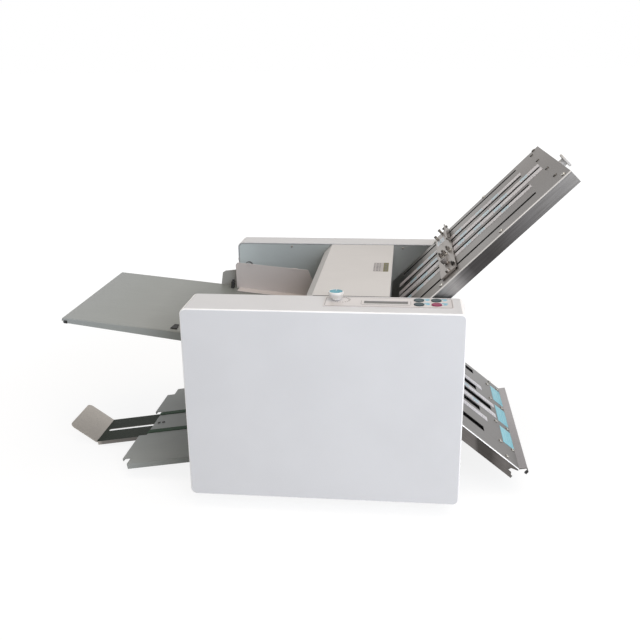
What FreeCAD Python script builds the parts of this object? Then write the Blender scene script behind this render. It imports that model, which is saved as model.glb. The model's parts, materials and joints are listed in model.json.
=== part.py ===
import FreeCAD, Part
import math
import os

# Desk paper folding machine with two buckle plates.
# Working frame while modelling: X to the right along the paper's way through the rollers,
# Y towards the rear housing, Z up, with X = 0 at the middle of the housings and Z = 0 at
# the lower edge of the covers. At the end everything is moved so that the origin lies on
# the bench under the middle of the machine's box. All lengths are in millimetres.

V = FreeCAD.Vector
ALONG_Y = V(0, 1, 0)

# ---------------------------------------------------------------- driving dimensions
# housings and frames
housing_length = 400.0
housing_height = 294.0
front_housing_depth = 74.0
rear_housing_depth = 50.0
corner_radius = 9.0
edge_radius = 2.5
cover_sheet = 1.5
frame_sheet = 4.0
frame_rim_gap = 0.8             # air between a side frame's edge and its cover
frame_flange = 14.0
base_sheet = 2.0
base_flange = 15.0
foot_height = 25.0
foot_radius = 14.0
foot_inset = 50.0
tie_bar_radius = 6.0

# paper path
paper_centre_y = 2.0
gear_module = 2.0
gear_teeth = 16
gear_width = 10.0
gear_backlash = 0.24
roller_clearance = 0.2          # half of the air between two neighbouring rollers
roller_length = 300.0
roller_core_radius = 7.0
sleeve_count = 5
sleeve_gap = 6.0
journal_radius = 4.0
running_clearance = 0.05
bush_radius = 8.0
bush_flange = 1.5
main_roller_x = 46.0
main_roller_drop = 105.0        # from the housing's top to the main roller's axis
infeed_roller_angle = 120.0     # places of the other three round the main roller
upper_roller_angle = 38.0
exit_roller_angle = -52.0
feed_roller_radius = 22.0
feed_hub_radius = 15.0
feed_tyre_width = 22.0
feed_tyre_pitch = 34.0
feed_core_radius = 6.0
feed_core_gap = 6.0
feed_motor_radius = 18.0
feed_drive_end = 14.0           # how far the feed roller's shaft reaches into its motor
shaft_end = 4.0                 # how far the other shafts stand out of the frames
feed_roller_back = 44.0         # from the infeed roller's axis, against the paper's way
feed_roller_rise = 8.0
nip_gap = 0.5

# drive
motor_x = 72.0
motor_z = 78.0
motor_radius = 30.0
motor_length = 78.0
motor_pulley_teeth = 18
roller_pulley_teeth = 28
exit_pulley_teeth = 18
pulley_pitch = 3.0
pulley_width = 10.0
pulley_flange = 1.8
belt_thickness = 1.5
belt_clearance = 0.3

# feed table, with its own coordinates: along it from the outer end, and up from its face
table_width = 278.0
table_offset_y = 4.0            # of its middle, from the paper's
table_outer_x = -416.0
table_inner_x = 22.0
table_angle = 5.77
table_sheet = 1.5
table_flange_outer = 8.0
table_flange_inner = 15.0
table_lip = 6.0
cheek_from_housing = 25.0       # upstanding cheek at the table's far edge
cheek_length = 36.0
cheek_height = 33.0
guide_slot_x = -128.0
guide_slot_width = 6.0
guide_slot_reach = 118.0

# side guides
guide_sheet = 1.2
guide_height = 48.0
guide_left_x = -199.0
guide_right_x = -56.0
guide_foot = 22.0
guide_gap = 0.35
far_guide_y = 129.0
near_guide_y = -85.0
guide_stud_radius = 2.6
guide_knob_x = -175.0
guide_knob_radius = 7.5
guide_knob_height = 44.0
guide_knob_length = 7.0

# centre cover
centre_cover_left = -21.0
centre_cover_right = 93.0
centre_cover_drop = 1.0         # its top below the housings' top
centre_cover_side_gap = 2.0
centre_cover_sheet = 1.5
slant_run = 14.5
slant_drop = 15.0
centre_cover_back = 14.0
hinge_inset = 5.5
hinge_drop = 6.0
hinge_pin_radius = 3.0
hinge_pin_reach = 7.0

# upper folding plate, with its own coordinates: along it from its mouth, up from its face
upper_angle = 45.2
upper_length = 345.0
upper_width = 302.0
upper_wall = 21.0
upper_mouth_dx = 20.8           # mouth, from the upper roller's axis
upper_mouth_dz = 22.3
plate_sheet = 1.5
plate_gap = 3.0
spacer_width = 4.0
upper_slot_width = 9.6
upper_slot_start = 28.0
# place across the plate, and how far before its outer end the slot or scale stops
upper_slots = [(124.0, 53.0), (58.0, 53.0), (10.0, 24.0), (-35.0, 53.0), (-106.0, 53.0)]
upper_scales = [(64.0, 82.0, 51.0), (15.0, 35.0, 22.0), (-19.0, 3.0, 22.0), (-60.0, -42.0, 51.0)]
scale_sheet = 0.4
scale_start = 20.0
upper_end_row = 18.0            # rows of screws, before the outer end
upper_edge_row = [238.0, 123.0, 10.0]
screw_inset = 13.0
bend_radius = 2.0               # outer radius of a folded sheet edge

# lower folding plate
lower_angle = -38.7
lower_length = 248.0            # to the bend of its end lip
lower_width = 316.0             # the wider of the two plates
plate_side_room = 24.0          # the side frames stand this much further apart
lower_wall = 20.0
lower_mouth_dx = 36.3           # mouth, from the exit roller's axis
lower_mouth_dz = 13.8
lower_lip = 12.0
lower_lip_angle = 10.0
lower_lip_return = 8.0
lower_slot_width = 17.6
lower_slot_start = 24.0
lower_slots = [(134.0, 65.0), (59.0, 65.0), (15.0, 36.0), (-29.0, 66.0), (-107.0, 66.0)]
lower_scales = [(70.0, 86.0, 51.0), (28.0, 42.0, 27.0), (-15.0, 1.0, 28.0), (-62.0, -47.0, 53.0)]
lower_labels = [(70.0, 134.0), (-16.0, 48.0), (-96.0, -36.0)]
lower_label_end = 0.6           # all these are distances before the bend at the outer end
lower_label_length = 23.0
lower_rows = [(31.0, (129.0, 64.0, -30.0, -103.0)), (5.0, (141.0, 59.0, -26.0, -102.0))]
lower_edge_rivet = 23.0
lower_back_end = 20.0

# paper stops on the plates
stop_width = 30.0
stop_bar_lift = 2.0
stop_bar_sheet = 2.0
stop_near_margin = 19.0         # from the outermost slot to the bar's near end
stop_far_gap = 5.0              # from the bar's far end to the plate's edge
stop_foot_gap = 0.35
upper_stop_place = 126.0
lower_stop_place = 70.0
stop_finger_radius = 1.3
stop_knob_radius = 5.5
stop_knob_height = 7.0
stop_knob_foot = 2.0            # thinner neck under the knob
stop_knob_y = -66.0
stop_screw_y = -116.0           # slotted screw that fixes the bar to its slide
stop_screw_radius = 4.0
stop_screw_height = 3.5
stop_studs = [(11.0, 22.0), (1.0, 6.0), (-9.0, 29.0)]      # from the bar's middle, and before its far end
stop_stud_radius = 1.8
stop_stud_height = 7.0
stop_stud_head = 2.6
stop_stud_head_height = 2.0
stop_flange_y = 38.0            # its upstanding flange starts here and runs to the far end
stop_flange_height = 9.0
stop_nuts = [(9.0, -8.0), (0.0, -10.0), (-6.5, -11.0)]      # along and across, a row of hex nuts
stop_nut_radius = 3.2
stop_nut_height = 6.0

# end knob of the upper plate
end_bar_length = 12.0
end_knob_y = -44.0
end_knob_depth = 8.0
end_knob_stem_radius = 6.0
end_knob_stem_length = 6.5
end_knob_cap_radius = 11.5
end_knob_cap_length = 3.5

# delivery tray, with its own coordinates: along it from its inner end, and up from its face
tray_angle = 9.4
tray_width = 310.0
tray_outer_x = -328.2
tray_inner_x = 2.0
tray_height_at_middle = 55.6
tray_sheet = 1.2
tray_flange = 9.0
tray_lip = 14.3
tray_lip_near = 21.0            # from the tray's edges and from the belts to the lips
tray_lip_far = 27.0
tray_lip_gap = 6.0
delivery_roller_x = 16.0
delivery_drum_radius = 8.0
delivery_drum_width = 17.0
delivery_belt_width = 12.0
delivery_belt_sheet = 0.8
delivery_belt_gap = 0.15
delivery_belt_offset = 37.0
idler_x = -100.0
idler_radius = 4.0

# delivery arm
arm_width = 90.0
arm_centre_y = -0.5
arm_bend_x = -422.0
arm_inner_x = -212.0
arm_sheet = 1.2
arm_clearance = 0.35
arm_flange = 6.5
arm_slot_width = 8.0
arm_slot_end_inset = 7.0
arm_flap_length = 54.5
arm_flap_angle = 35.3
arm_flap_radius = 9.0
arm_screws_from_edge = [8.7, 16.7]      # two screws through the tray hold the arm's slot
arm_screw_radius = 1.8
arm_screw_head = 2.8
arm_screw_head_height = 0.9
arm_sleeve_radius = 3.6         # round each screw, between the tray and the washer plate
arm_washer = 2.0
arm_washer_margin = 2.2

# control panel on the front housing's top
panel_right_inset = 17.0
panel_length = 182.4
panel_back_inset = 5.0
panel_depth = 46.0
panel_sheet = 0.8
panel_radius = 2.0
knob_from_left = 16.4
knob_from_back = 15.0
knob_height = 12.6
knob_top_radius = 11.4
knob_foot_radius = 6.6
knob_lift = 0.4
knob_shaft_radius = 3.0
display_from_left = 57.0
display_length = 62.0
display_depth = 13.0
display_from_back = 18.5
display_frame = 3.6
key_radius = 7.3
key_from_left = 134.5
key_pitch_x = 24.5
key_from_back = 11.5
key_pitch_y = 20.0
key_lift = 1.4
key_rim = 1.2
key_rim_height = 1.2
key_travel = 1.0
key_hole_gap = 0.35
board_drop = 14.0
board_sheet = 1.6

# mains inlet and power switch on the rear cover
inlet_from_left = 60.0
inlet_height = 46.0
inlet_length = 66.0
inlet_tall = 31.0
inlet_plate = 2.5
inlet_body = 24.0
socket_length = 26.0
socket_tall = 19.0
socket_deep = 17.0
socket_offset = 14.0
rocker_offset = -17.0
rocker_length = 13.0
rocker_tall = 21.0
rocker_gap = 0.4
rocker_deep = 9.0
rocker_tilt = 8.0

# fasteners
screw_head_radius = 3.2
screw_head_height = 1.6
screw_shank_radius = 1.5
cover_screw_radius = 4.0
cover_screw_height = 2.2
cover_screw_inset = 34.0
stud_radius = 4.0
tray_stud_radius = 3.0
plate_stud_inner = 12.0         # places of the studs along the two plates, and below their faces
upper_stud_outer = 92.0
lower_stud_outer = 112.0
upper_stud_depth = 15.0
lower_stud_depth = 14.5
tray_stud_outer = 24.0          # from the housing's left end
tray_stud_inner = 170.0
tray_stud_depth = 5.4
cover_stud_reach = 9.0

# cross bars, chute, separator and power board
table_bar_outer = 22.0          # before the guide slot
table_bar_inner = 106.0         # before the main roller
upper_bar_dx = 94.0             # from the upper roller's axis
upper_bar_dz = -4.0
motor_bar_dx = 68.0             # from the motor's axis
motor_bar_dz = -48.0
base_inset = 15.0
chute_bends = [(-32.0, -24.0), (-52.0, -48.0), (-62.0, -80.0), (-72.0, -116.0)]   # from the main roller
pad_before = 12.0               # from the feed roller's middle
pad_behind = 14.0
pad_sheet = 4.0
pad_margin = 4.0
holder_rim = 8.0
holder_sheet = 4.0
supply_length = 110.0
supply_low = 24.0
supply_high = 104.0
supply_gap = 12.0
supply_from_inlet = 14.0
supply_pillar_radius = 2.5
supply_pillar_inset = 5.0
supply_coil_x = 14.0
supply_coil_length = 30.0
supply_coil_depth = 16.0
supply_coil_rise = 10.0
supply_coil_tall = 28.0
supply_can_x = [62.0, 84.0]
supply_can_rise = 26.0
supply_can_radius = 7.0
supply_can_length = 15.0

# ---------------------------------------------------------------- worked-out places
throat_width = lower_width + plate_side_room    # clear width between the two side frames
x_left = -housing_length / 2
x_right = housing_length / 2
y_front = -(front_housing_depth + throat_width + rear_housing_depth) / 2
y_throat_front = y_front + front_housing_depth
y_throat_rear = y_throat_front + throat_width
y_rear = y_throat_rear + rear_housing_depth
z_top = housing_height

centre_distance = gear_module * gear_teeth
roller_radius = centre_distance / 2 - roller_clearance


def round_main(angle):
    """Axis of a roller that lies at an angle round the main roller."""
    a = math.radians(angle)
    return (main_roller_x + centre_distance * math.cos(a),
            z_top - main_roller_drop + centre_distance * math.sin(a))


main_axis = (main_roller_x, z_top - main_roller_drop)
infeed_axis = round_main(infeed_roller_angle)
upper_axis = round_main(upper_roller_angle)
exit_axis = round_main(exit_roller_angle)
feed_axis = (infeed_axis[0] - feed_roller_back, infeed_axis[1] + feed_roller_rise)
motor_axis = (motor_x, motor_z)
roller_axes = {"fold_roller_1": infeed_axis, "fold_roller_2": main_axis,
               "fold_roller_3": upper_axis, "fold_roller_4": exit_axis}

y_path_near = paper_centre_y - roller_length / 2
y_path_far = paper_centre_y + roller_length / 2

# layers of gears and pulleys outside the front frame, counted away from it
gear_y = y_throat_front - frame_sheet - bush_flange - 4.0 - gear_width
pulley_y = gear_y - 4.0 - pulley_width
rear_pulley_y = y_throat_rear + frame_sheet + 4.0


# ---------------------------------------------------------------- shape helpers
def block(x0, x1, y0, y1, z0, z1):
    return Part.makeBox(x1 - x0, y1 - y0, z1 - z0, V(x0, y0, z0))


def rod(axis, radius, y0, y1):
    """Round bar along Y round the point axis = (x, z)."""
    return Part.makeCylinder(radius, y1 - y0, V(axis[0], y0, axis[1]), ALONG_Y)


def pipe(axis, outer, inner, y0, y1):
    return rod(axis, outer, y0, y1).cut(rod(axis, inner, y0 - 1, y1 + 1))


def post(x, y, radius, z0, z1):
    return Part.makeCylinder(radius, z1 - z0, V(x, y, z0))


def slab(outline, y0, y1):
    """Closed outline of (x, z) points, drawn out along Y."""
    points = [V(x, y0, z) for x, z in outline]
    face = Part.Face(Part.makePolygon(points + [points[0]]))
    return face.extrude(V(0, y1 - y0, 0))


def bent_sheet(line, thickness, y0, y1):
    """Sheet whose upper face follows the line of (x, z) points; the sheet lies to the right of it."""
    lower = []
    for i, (x, z) in enumerate(line):
        before = line[max(i - 1, 0)]
        after = line[min(i + 1, len(line) - 1)]
        d1 = V(x - before[0], 0, z - before[1])
        d2 = V(after[0] - x, 0, after[1] - z)
        if d1.Length < 1e-9:
            d1 = d2
        if d2.Length < 1e-9:
            d2 = d1
        d1.normalize()
        d2.normalize()
        n1 = V(d1.z, 0, -d1.x)
        n2 = V(d2.z, 0, -d2.x)
        mitre = n1 + n2
        mitre.multiply(thickness / (1 + n1.dot(n2)))
        lower.append((x + mitre.x, z + mitre.z))
    return slab(list(line) + lower[::-1], y0, y1)


def folded_channel(u0, u1, y0, y1, sheet, wall):
    """Sheet with two side walls folded down along it, with rounded bends."""

    def bend_edges(shape, z):
        return [e for e in shape.Edges if abs(e.CenterOfMass.z - z) < 1e-6
                and abs(e.Vertexes[0].X - e.Vertexes[-1].X) > (u1 - u0) / 2]

    outer = block(u0, u1, y0, y1, -wall, 0)
    outer = outer.makeFillet(bend_radius, bend_edges(outer, 0))
    inner = block(u0 - 1, u1 + 1, y0 + sheet, y1 - sheet, -wall - 1, -sheet)
    if bend_radius > sheet:
        inner = inner.makeFillet(bend_radius - sheet, bend_edges(inner, -sheet))
    return outer.cut(inner)


def rounded_plate(x0, x1, z0, z1, radius, y0, y1):
    """Plate in the XZ plane with rounded corners."""
    plate = block(x0, x1, y0, y1, z0, z1)
    corners = [e for e in plate.Edges if abs(e.Vertexes[0].Y - e.Vertexes[-1].Y) > (y1 - y0) / 2]
    return plate.makeFillet(radius, corners)


def lay(shape, origin, angle):
    """Move a shape from a sloping piece's own coordinates to its place: (x, z) and a slope."""
    placed = shape.copy()
    placed.rotate(V(0, 0, 0), ALONG_Y, -angle)
    placed.translate(V(origin[0], 0, origin[1]))
    return placed


def group(pieces):
    return Part.makeCompound(pieces)


def outer_radius_edges(shell, y_face):
    """Edges that bound the face of a cover at Y = y_face."""
    return [e for e in shell.Edges if all(abs(v.Y - y_face) < 1e-6 for v in e.Vertexes)
            and abs(e.CenterOfMass.y - y_face) < 1e-6]


def hull_outline(a, ra, b, rb, y0, y1):
    """Solid hull of two circles in the XZ plane: the shape inside a belt."""
    dx, dz = b[0] - a[0], b[1] - a[1]
    distance = math.hypot(dx, dz)
    heading = math.atan2(dz, dx)
    lean = math.acos((ra - rb) / distance)

    def at(centre, radius, angle):
        return V(centre[0] + radius * math.cos(angle), y0, centre[1] + radius * math.sin(angle))

    a1, b1 = at(a, ra, heading + lean), at(b, rb, heading + lean)
    a2, b2 = at(a, ra, heading - lean), at(b, rb, heading - lean)
    far_b = at(b, rb, heading)
    far_a = at(a, ra, heading + math.pi)
    wire = Part.Wire([Part.LineSegment(a1, b1).toShape(), Part.Arc(b1, far_b, b2).toShape(),
                      Part.LineSegment(b2, a2).toShape(), Part.Arc(a2, far_a, a1).toShape()])
    return Part.Face(wire).extrude(V(0, y1 - y0, 0))


def belt(a, ra, b, rb, y0, y1):
    gap = belt_clearance
    outer = hull_outline(a, ra + gap + belt_thickness, b, rb + gap + belt_thickness, y0, y1)
    return outer.cut(hull_outline(a, ra + gap, b, rb + gap, y0 - 1, y1 + 1))


def pulley_radius(teeth):
    return teeth * pulley_pitch / (2 * math.pi)


def pulley(axis, teeth, y0, bore):
    """Belt pulley: drum with two flanges."""
    r = pulley_radius(teeth)
    wheel = rod(axis, r, y0, y0 + pulley_width)
    for y in (y0 - 1.0, y0 + pulley_width):
        wheel = wheel.fuse(rod(axis, r + pulley_flange, y, y + 1.0))
    return wheel.cut(rod(axis, bore, y0 - 2, y0 + pulley_width + 2))


def gear(axis, phase, y0):
    """Spur gear with involute flanks; phase is the angle of a tooth's middle."""
    pitch_r = gear_module * gear_teeth / 2
    pressure = math.radians(20)
    base_r = pitch_r * math.cos(pressure)
    tip_r = pitch_r + 0.95 * gear_module
    root_r = pitch_r - 1.25 * gear_module
    half_at_pitch = (math.pi * gear_module / 2 - gear_backlash) / (2 * pitch_r)
    involute_at_pitch = math.tan(pressure) - pressure

    def half_angle(r):
        alpha = math.acos(min(1.0, base_r / r))
        return half_at_pitch + involute_at_pitch - (math.tan(alpha) - alpha)

    steps = 4
    radii = [root_r] + [base_r + (tip_r - base_r) * i / steps for i in range(steps + 1)]
    outline = []
    for tooth in range(gear_teeth):
        middle = math.radians(phase) + tooth * 2 * math.pi / gear_teeth
        flank = [(r, half_angle(max(r, base_r))) for r in radii]
        points = [(r, middle - h) for r, h in flank] + [(r, middle + h) for r, h in flank[::-1]]
        outline += [(axis[0] + r * math.cos(a), axis[1] + r * math.sin(a)) for r, a in points]
    wheel = slab(outline, y0, y0 + gear_width)
    return wheel.cut(rod(axis, journal_radius, y0 - 1, y0 + gear_width + 1))


def meshed_phase(driver, driver_phase, follower):
    """Phase of a gear of the same size that meshes with the driver."""
    pitch = 360.0 / gear_teeth
    heading = math.degrees(math.atan2(follower[1] - driver[1], follower[0] - driver[0]))
    share = ((heading - driver_phase) / pitch) % 1.0
    return heading + 180 + pitch * (share + 0.5)


def screw(x, y, z, sink):
    """Small pan-head screw standing on a face at height z."""
    head = post(x, y, screw_head_radius, z, z + screw_head_height)
    head = head.makeFillet(screw_head_height * 0.45, [head.Edges[0]])
    return head.fuse(post(x, y, screw_shank_radius, z - sink, z))


nodes = {}


# ---------------------------------------------------------------- housings and frames
def cover_shell(y_closed, y_open):
    """Five-sided cover, open towards the throat."""
    y0, y1 = min(y_closed, y_open), max(y_closed, y_open)
    sign = 1 if y_open > y_closed else -1
    outer = rounded_plate(x_left, x_right, 0, z_top, corner_radius, y0, y1)
    outer = outer.makeFillet(edge_radius, outer_radius_edges(outer, y_closed))
    t = cover_sheet
    i0, i1 = (y0 + t, y1 + 1) if sign > 0 else (y0 - 1, y1 - t)
    inner = rounded_plate(x_left + t, x_right - t, t, z_top - t, corner_radius - t, i0, i1)
    inner = inner.makeFillet(max(edge_radius - t, 0.3), outer_radius_edges(inner, y_closed + sign * t))
    return outer.cut(inner)


frame_x0 = x_left + cover_sheet + frame_rim_gap
frame_x1 = x_right - cover_sheet - frame_rim_gap
frame_z0 = cover_sheet + frame_rim_gap
frame_z1 = z_top - cover_sheet - frame_rim_gap


def side_frame(y_inner, outward):
    """Side plate with two end flanges folded away from the throat."""
    y_outer = y_inner + outward * frame_sheet
    y0, y1 = min(y_inner, y_outer), max(y_inner, y_outer)
    radius = corner_radius - cover_sheet - frame_rim_gap
    plate = rounded_plate(frame_x0, frame_x1, frame_z0, frame_z1, radius, y0, y1)
    f0, f1 = sorted((y_outer, y_outer + outward * frame_flange))
    for x0 in (frame_x0, frame_x1 - frame_sheet):
        flange = block(x0, x0 + frame_sheet, f0, f1, frame_z0 + radius, frame_z1 - radius)
        plate = plate.fuse(flange)
    return plate.removeSplitter()


delivery_axis = (delivery_roller_x,
                 tray_height_at_middle + delivery_roller_x * math.tan(math.radians(tray_angle))
                 - (delivery_drum_radius + belt_clearance - delivery_belt_gap)
                 / math.cos(math.radians(tray_angle)))
shaft_axes = list(roller_axes.values()) + [feed_axis, delivery_axis]

front_frame = side_frame(y_throat_front, -1)
rear_frame = side_frame(y_throat_rear, 1)
for axis in shaft_axes:
    front_frame = front_frame.cut(rod(axis, bush_radius, y_throat_front - frame_sheet - 1, y_throat_front + 1))
    rear_frame = rear_frame.cut(rod(axis, bush_radius, y_throat_rear - 1, y_throat_rear + frame_sheet + 1))
front_frame = front_frame.cut(rod(motor_axis, motor_radius / 3, y_throat_front - frame_sheet - 1,
                                  y_throat_front + 1))
nodes["front_side_frame"] = front_frame
nodes["rear_side_frame"] = rear_frame

feed_plane_z = feed_axis[1] - feed_roller_radius - nip_gap
table_slope = math.tan(math.radians(table_angle))


def table_z(x):
    """Height of the feed table's face."""
    return feed_plane_z - (x - feed_axis[0]) * table_slope


def under_table_bar(x):
    return (x, table_z(x) - table_flange_inner / math.cos(math.radians(table_angle))
            - tie_bar_radius * 1.01)


tie_bar_axes = [under_table_bar(guide_slot_x - table_bar_outer), under_table_bar(main_roller_x - table_bar_inner),
                (upper_axis[0] + upper_bar_dx, upper_axis[1] + upper_bar_dz),
                (motor_x + motor_bar_dx, motor_z + motor_bar_dz)]
bars = []
for axis in tie_bar_axes:
    bars.append(rod(axis, tie_bar_radius, y_throat_front, y_throat_rear))
nodes["frame_tie_bars"] = group(bars)

base = block(x_left + base_inset, x_right - base_inset, y_throat_front, y_throat_rear, 0, base_sheet)
for y in (y_throat_front, y_throat_rear - base_sheet):
    base = base.fuse(block(x_left + base_inset, x_right - base_inset, y, y + base_sheet, 0, base_flange))
nodes["base_plate"] = base.removeSplitter()

feet = []
for x in (x_left + foot_inset, x_right - foot_inset):
    for y in (y_throat_front + foot_inset * 0.75, y_throat_rear - foot_inset * 0.75):
        foot = Part.makeCone(foot_radius * 0.85, foot_radius, foot_height, V(x, y, -foot_height))
        feet.append(foot)
nodes["rubber_feet"] = group(feet)

# ---------------------------------------------------------------- control panel places
panel_x1 = x_right - panel_right_inset
panel_x0 = panel_x1 - panel_length
panel_y1 = y_throat_front - panel_back_inset
panel_y0 = panel_y1 - panel_depth
panel_z = z_top + panel_sheet
knob_x = panel_x0 + knob_from_left
knob_y = panel_y1 - knob_from_back
display_x0 = panel_x0 + display_from_left
display_y1 = panel_y1 - display_from_back
keys = {}
for row in (0, 1):
    for column in (0, 1):
        keys["key_%d" % (row * 2 + column + 1)] = (panel_x0 + key_from_left + column * key_pitch_x,
                                                  panel_y1 - key_from_back - row * key_pitch_y)

front_cover = cover_shell(y_front, y_throat_front)
panel_plate = block(panel_x0, panel_x1, panel_y0, panel_y1, z_top, panel_z)
panel_plate = panel_plate.makeFillet(panel_radius, [e for e in panel_plate.Edges
                                                    if abs(e.Vertexes[0].Z - e.Vertexes[-1].Z) > panel_sheet / 2])
holes = [post(knob_x, knob_y, knob_shaft_radius + key_hole_gap, z_top - 2 * cover_sheet, z_top + 5)]
for x, y in keys.values():
    holes.append(post(x, y, key_radius + key_hole_gap, z_top - 2 * cover_sheet, z_top + 5))
holes.append(block(display_x0, display_x0 + display_length, display_y1 - display_depth, display_y1,
                   z_top - 2 * cover_sheet, z_top + 5))
for hole in holes:
    front_cover = front_cover.cut(hole)
    panel_plate = panel_plate.cut(hole)
frame_ring = block(display_x0 - display_frame, display_x0 + display_length + display_frame,
                   display_y1 - display_depth - display_frame, display_y1 + display_frame,
                   panel_z, panel_z + 0.5)
panel_plate = panel_plate.fuse(frame_ring.cut(holes[-1])).removeSplitter()
nodes["front_cover"] = front_cover
nodes["control_overlay"] = panel_plate
nodes["display_window"] = block(display_x0, display_x0 + display_length,
                                display_y1 - display_depth, display_y1,
                                z_top - cover_sheet, panel_z - 0.2)

# control board: board on four pillars under the cover's top, with what stands on it
board_z = z_top - cover_sheet - board_drop
board = block(panel_x0, panel_x1, panel_y0, panel_y1, board_z - board_sheet, board_z)
board_parts = [board]
for x in (panel_x0 + 4, panel_x1 - 4):
    for y in (panel_y0 + 4, panel_y1 - 4):
        board_parts.append(post(x, y, 2.5, board_z, z_top - cover_sheet))
pot_depth = board_drop - 4.0
pot = post(knob_x, knob_y, 8.0, board_z, board_z + pot_depth)
pot = pot.cut(post(knob_x, knob_y, knob_shaft_radius + running_clearance, board_z + 2, board_z + pot_depth + 1))
board_parts.append(pot)
board_parts.append(block(display_x0 - 2, display_x0 + display_length + 2, display_y1 - display_depth - 2,
                         display_y1 + 2, board_z, z_top - 2 * cover_sheet))
key_rim_z = z_top - cover_sheet - 0.3 - key_rim_height
for x, y in keys.values():
    board_parts.append(block(x - 4, x + 4, y - 4, y + 4, board_z, key_rim_z - key_travel - 0.2))
nodes["control_board"] = group(board_parts)

for name, (x, y) in keys.items():
    cap = post(x, y, key_radius, key_rim_z, panel_z + key_lift)
    cap = cap.makeFillet(0.6, [e for e in cap.Edges if abs(e.CenterOfMass.z - panel_z - key_lift) < 1e-6])
    rim = post(x, y, key_radius + key_rim, key_rim_z, key_rim_z + key_rim_height)
    nodes[name] = cap.fuse(rim).removeSplitter()

knob_z = panel_z + knob_lift
skirt = Part.makeCone(knob_foot_radius, knob_top_radius, knob_height * 0.62, V(knob_x, knob_y, knob_z))
crown = post(knob_x, knob_y, knob_top_radius, knob_z + knob_height * 0.62, knob_z + knob_height)
crown = crown.makeFillet(1.2, [e for e in crown.Edges if abs(e.CenterOfMass.z - knob_z - knob_height) < 1e-6])
knob_shaft = post(knob_x, knob_y, knob_shaft_radius, board_z + 3, knob_z + 2)
nodes["speed_knob"] = skirt.fuse(crown).fuse(knob_shaft).removeSplitter()

# ---------------------------------------------------------------- rear cover, inlet, switch
inlet_x = x_left + inlet_from_left
rear_cover = cover_shell(y_rear, y_throat_rear)
socket_x = inlet_x + socket_offset
rocker_x = inlet_x + rocker_offset
y_inlet_in = y_rear - cover_sheet - inlet_body
body_half = inlet_length / 2 - 5
inlet_block = block(inlet_x - body_half, inlet_x + body_half, y_inlet_in, y_rear,
                    inlet_height - inlet_tall / 2 + 4, inlet_height + inlet_tall / 2 - 4)
rear_cover = rear_cover.cut(inlet_block)
flange_plate = rounded_plate(inlet_x - inlet_length / 2, inlet_x + inlet_length / 2,
                             inlet_height - inlet_tall / 2, inlet_height + inlet_tall / 2,
                             3.0, y_rear, y_rear + inlet_plate)
inlet = inlet_block.fuse(flange_plate)
inlet = inlet.cut(block(socket_x - socket_length / 2, socket_x + socket_length / 2,
                        y_rear + inlet_plate - socket_deep, y_rear + inlet_plate + 1,
                        inlet_height - socket_tall / 2, inlet_height + socket_tall / 2))
rocker_slot_x = rocker_length / 2 + rocker_gap
rocker_slot_z = rocker_tall / 2 + rocker_gap
inlet = inlet.cut(block(rocker_x - rocker_slot_x, rocker_x + rocker_slot_x,
                        y_rear - rocker_deep - 3, y_rear + inlet_plate + 1,
                        inlet_height - rocker_slot_z, inlet_height + rocker_slot_z))
inlet = inlet.removeSplitter()
for dx, dz in ((-7, -2), (0, 3), (7, -2)):
    inlet = inlet.fuse(block(socket_x + dx - 1, socket_x + dx + 1, y_rear + inlet_plate - socket_deep,
                             y_rear - 3, inlet_height + dz - 2, inlet_height + dz + 2))
nodes["mains_inlet"] = inlet
nodes["rear_cover"] = rear_cover

# rocker: two faces that meet at a shallow valley, turning about a line along X
rocker_y = y_rear - 4.0
rise = rocker_tall / 2 * math.sin(math.radians(rocker_tilt))
profile = [(-rocker_tall / 2 * 0.86, -rocker_deep + 5), (rocker_tall / 2 * 0.86, -rocker_deep + 5),
           (rocker_tall / 2 * 0.96, 5 + rise), (0, 5), (-rocker_tall / 2 * 0.96, 5 + rise)]
points = [V(rocker_x - rocker_length / 2, rocker_y + d, inlet_height + h) for h, d in profile]
rocker = Part.Face(Part.makePolygon(points + [points[0]])).extrude(V(rocker_length, 0, 0))
rocker.rotate(V(rocker_x, rocker_y, inlet_height), V(1, 0, 0), -rocker_tilt)
nodes["power_rocker"] = rocker

power_x0 = inlet_x + body_half + supply_from_inlet
supply_back = y_rear - cover_sheet - supply_gap
supply_face = supply_back - board_sheet
supply = [block(power_x0, power_x0 + supply_length, supply_face, supply_back, supply_low, supply_high)]
for x in (power_x0 + supply_pillar_inset, power_x0 + supply_length - supply_pillar_inset):
    for z in (supply_low + supply_pillar_inset, supply_high - supply_pillar_inset):
        supply.append(rod((x, z), supply_pillar_radius, supply_back, y_rear - cover_sheet))
coil_x0 = power_x0 + supply_coil_x
coil_z0 = supply_low + supply_coil_rise
supply.append(block(coil_x0, coil_x0 + supply_coil_length, supply_face - supply_coil_depth, supply_face,
                    coil_z0, coil_z0 + supply_coil_tall))
for x in supply_can_x:
    supply.append(rod((power_x0 + x, supply_low + supply_can_rise), supply_can_radius,
                      supply_face - supply_can_length, supply_face))
nodes["power_board"] = group(supply)

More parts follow.
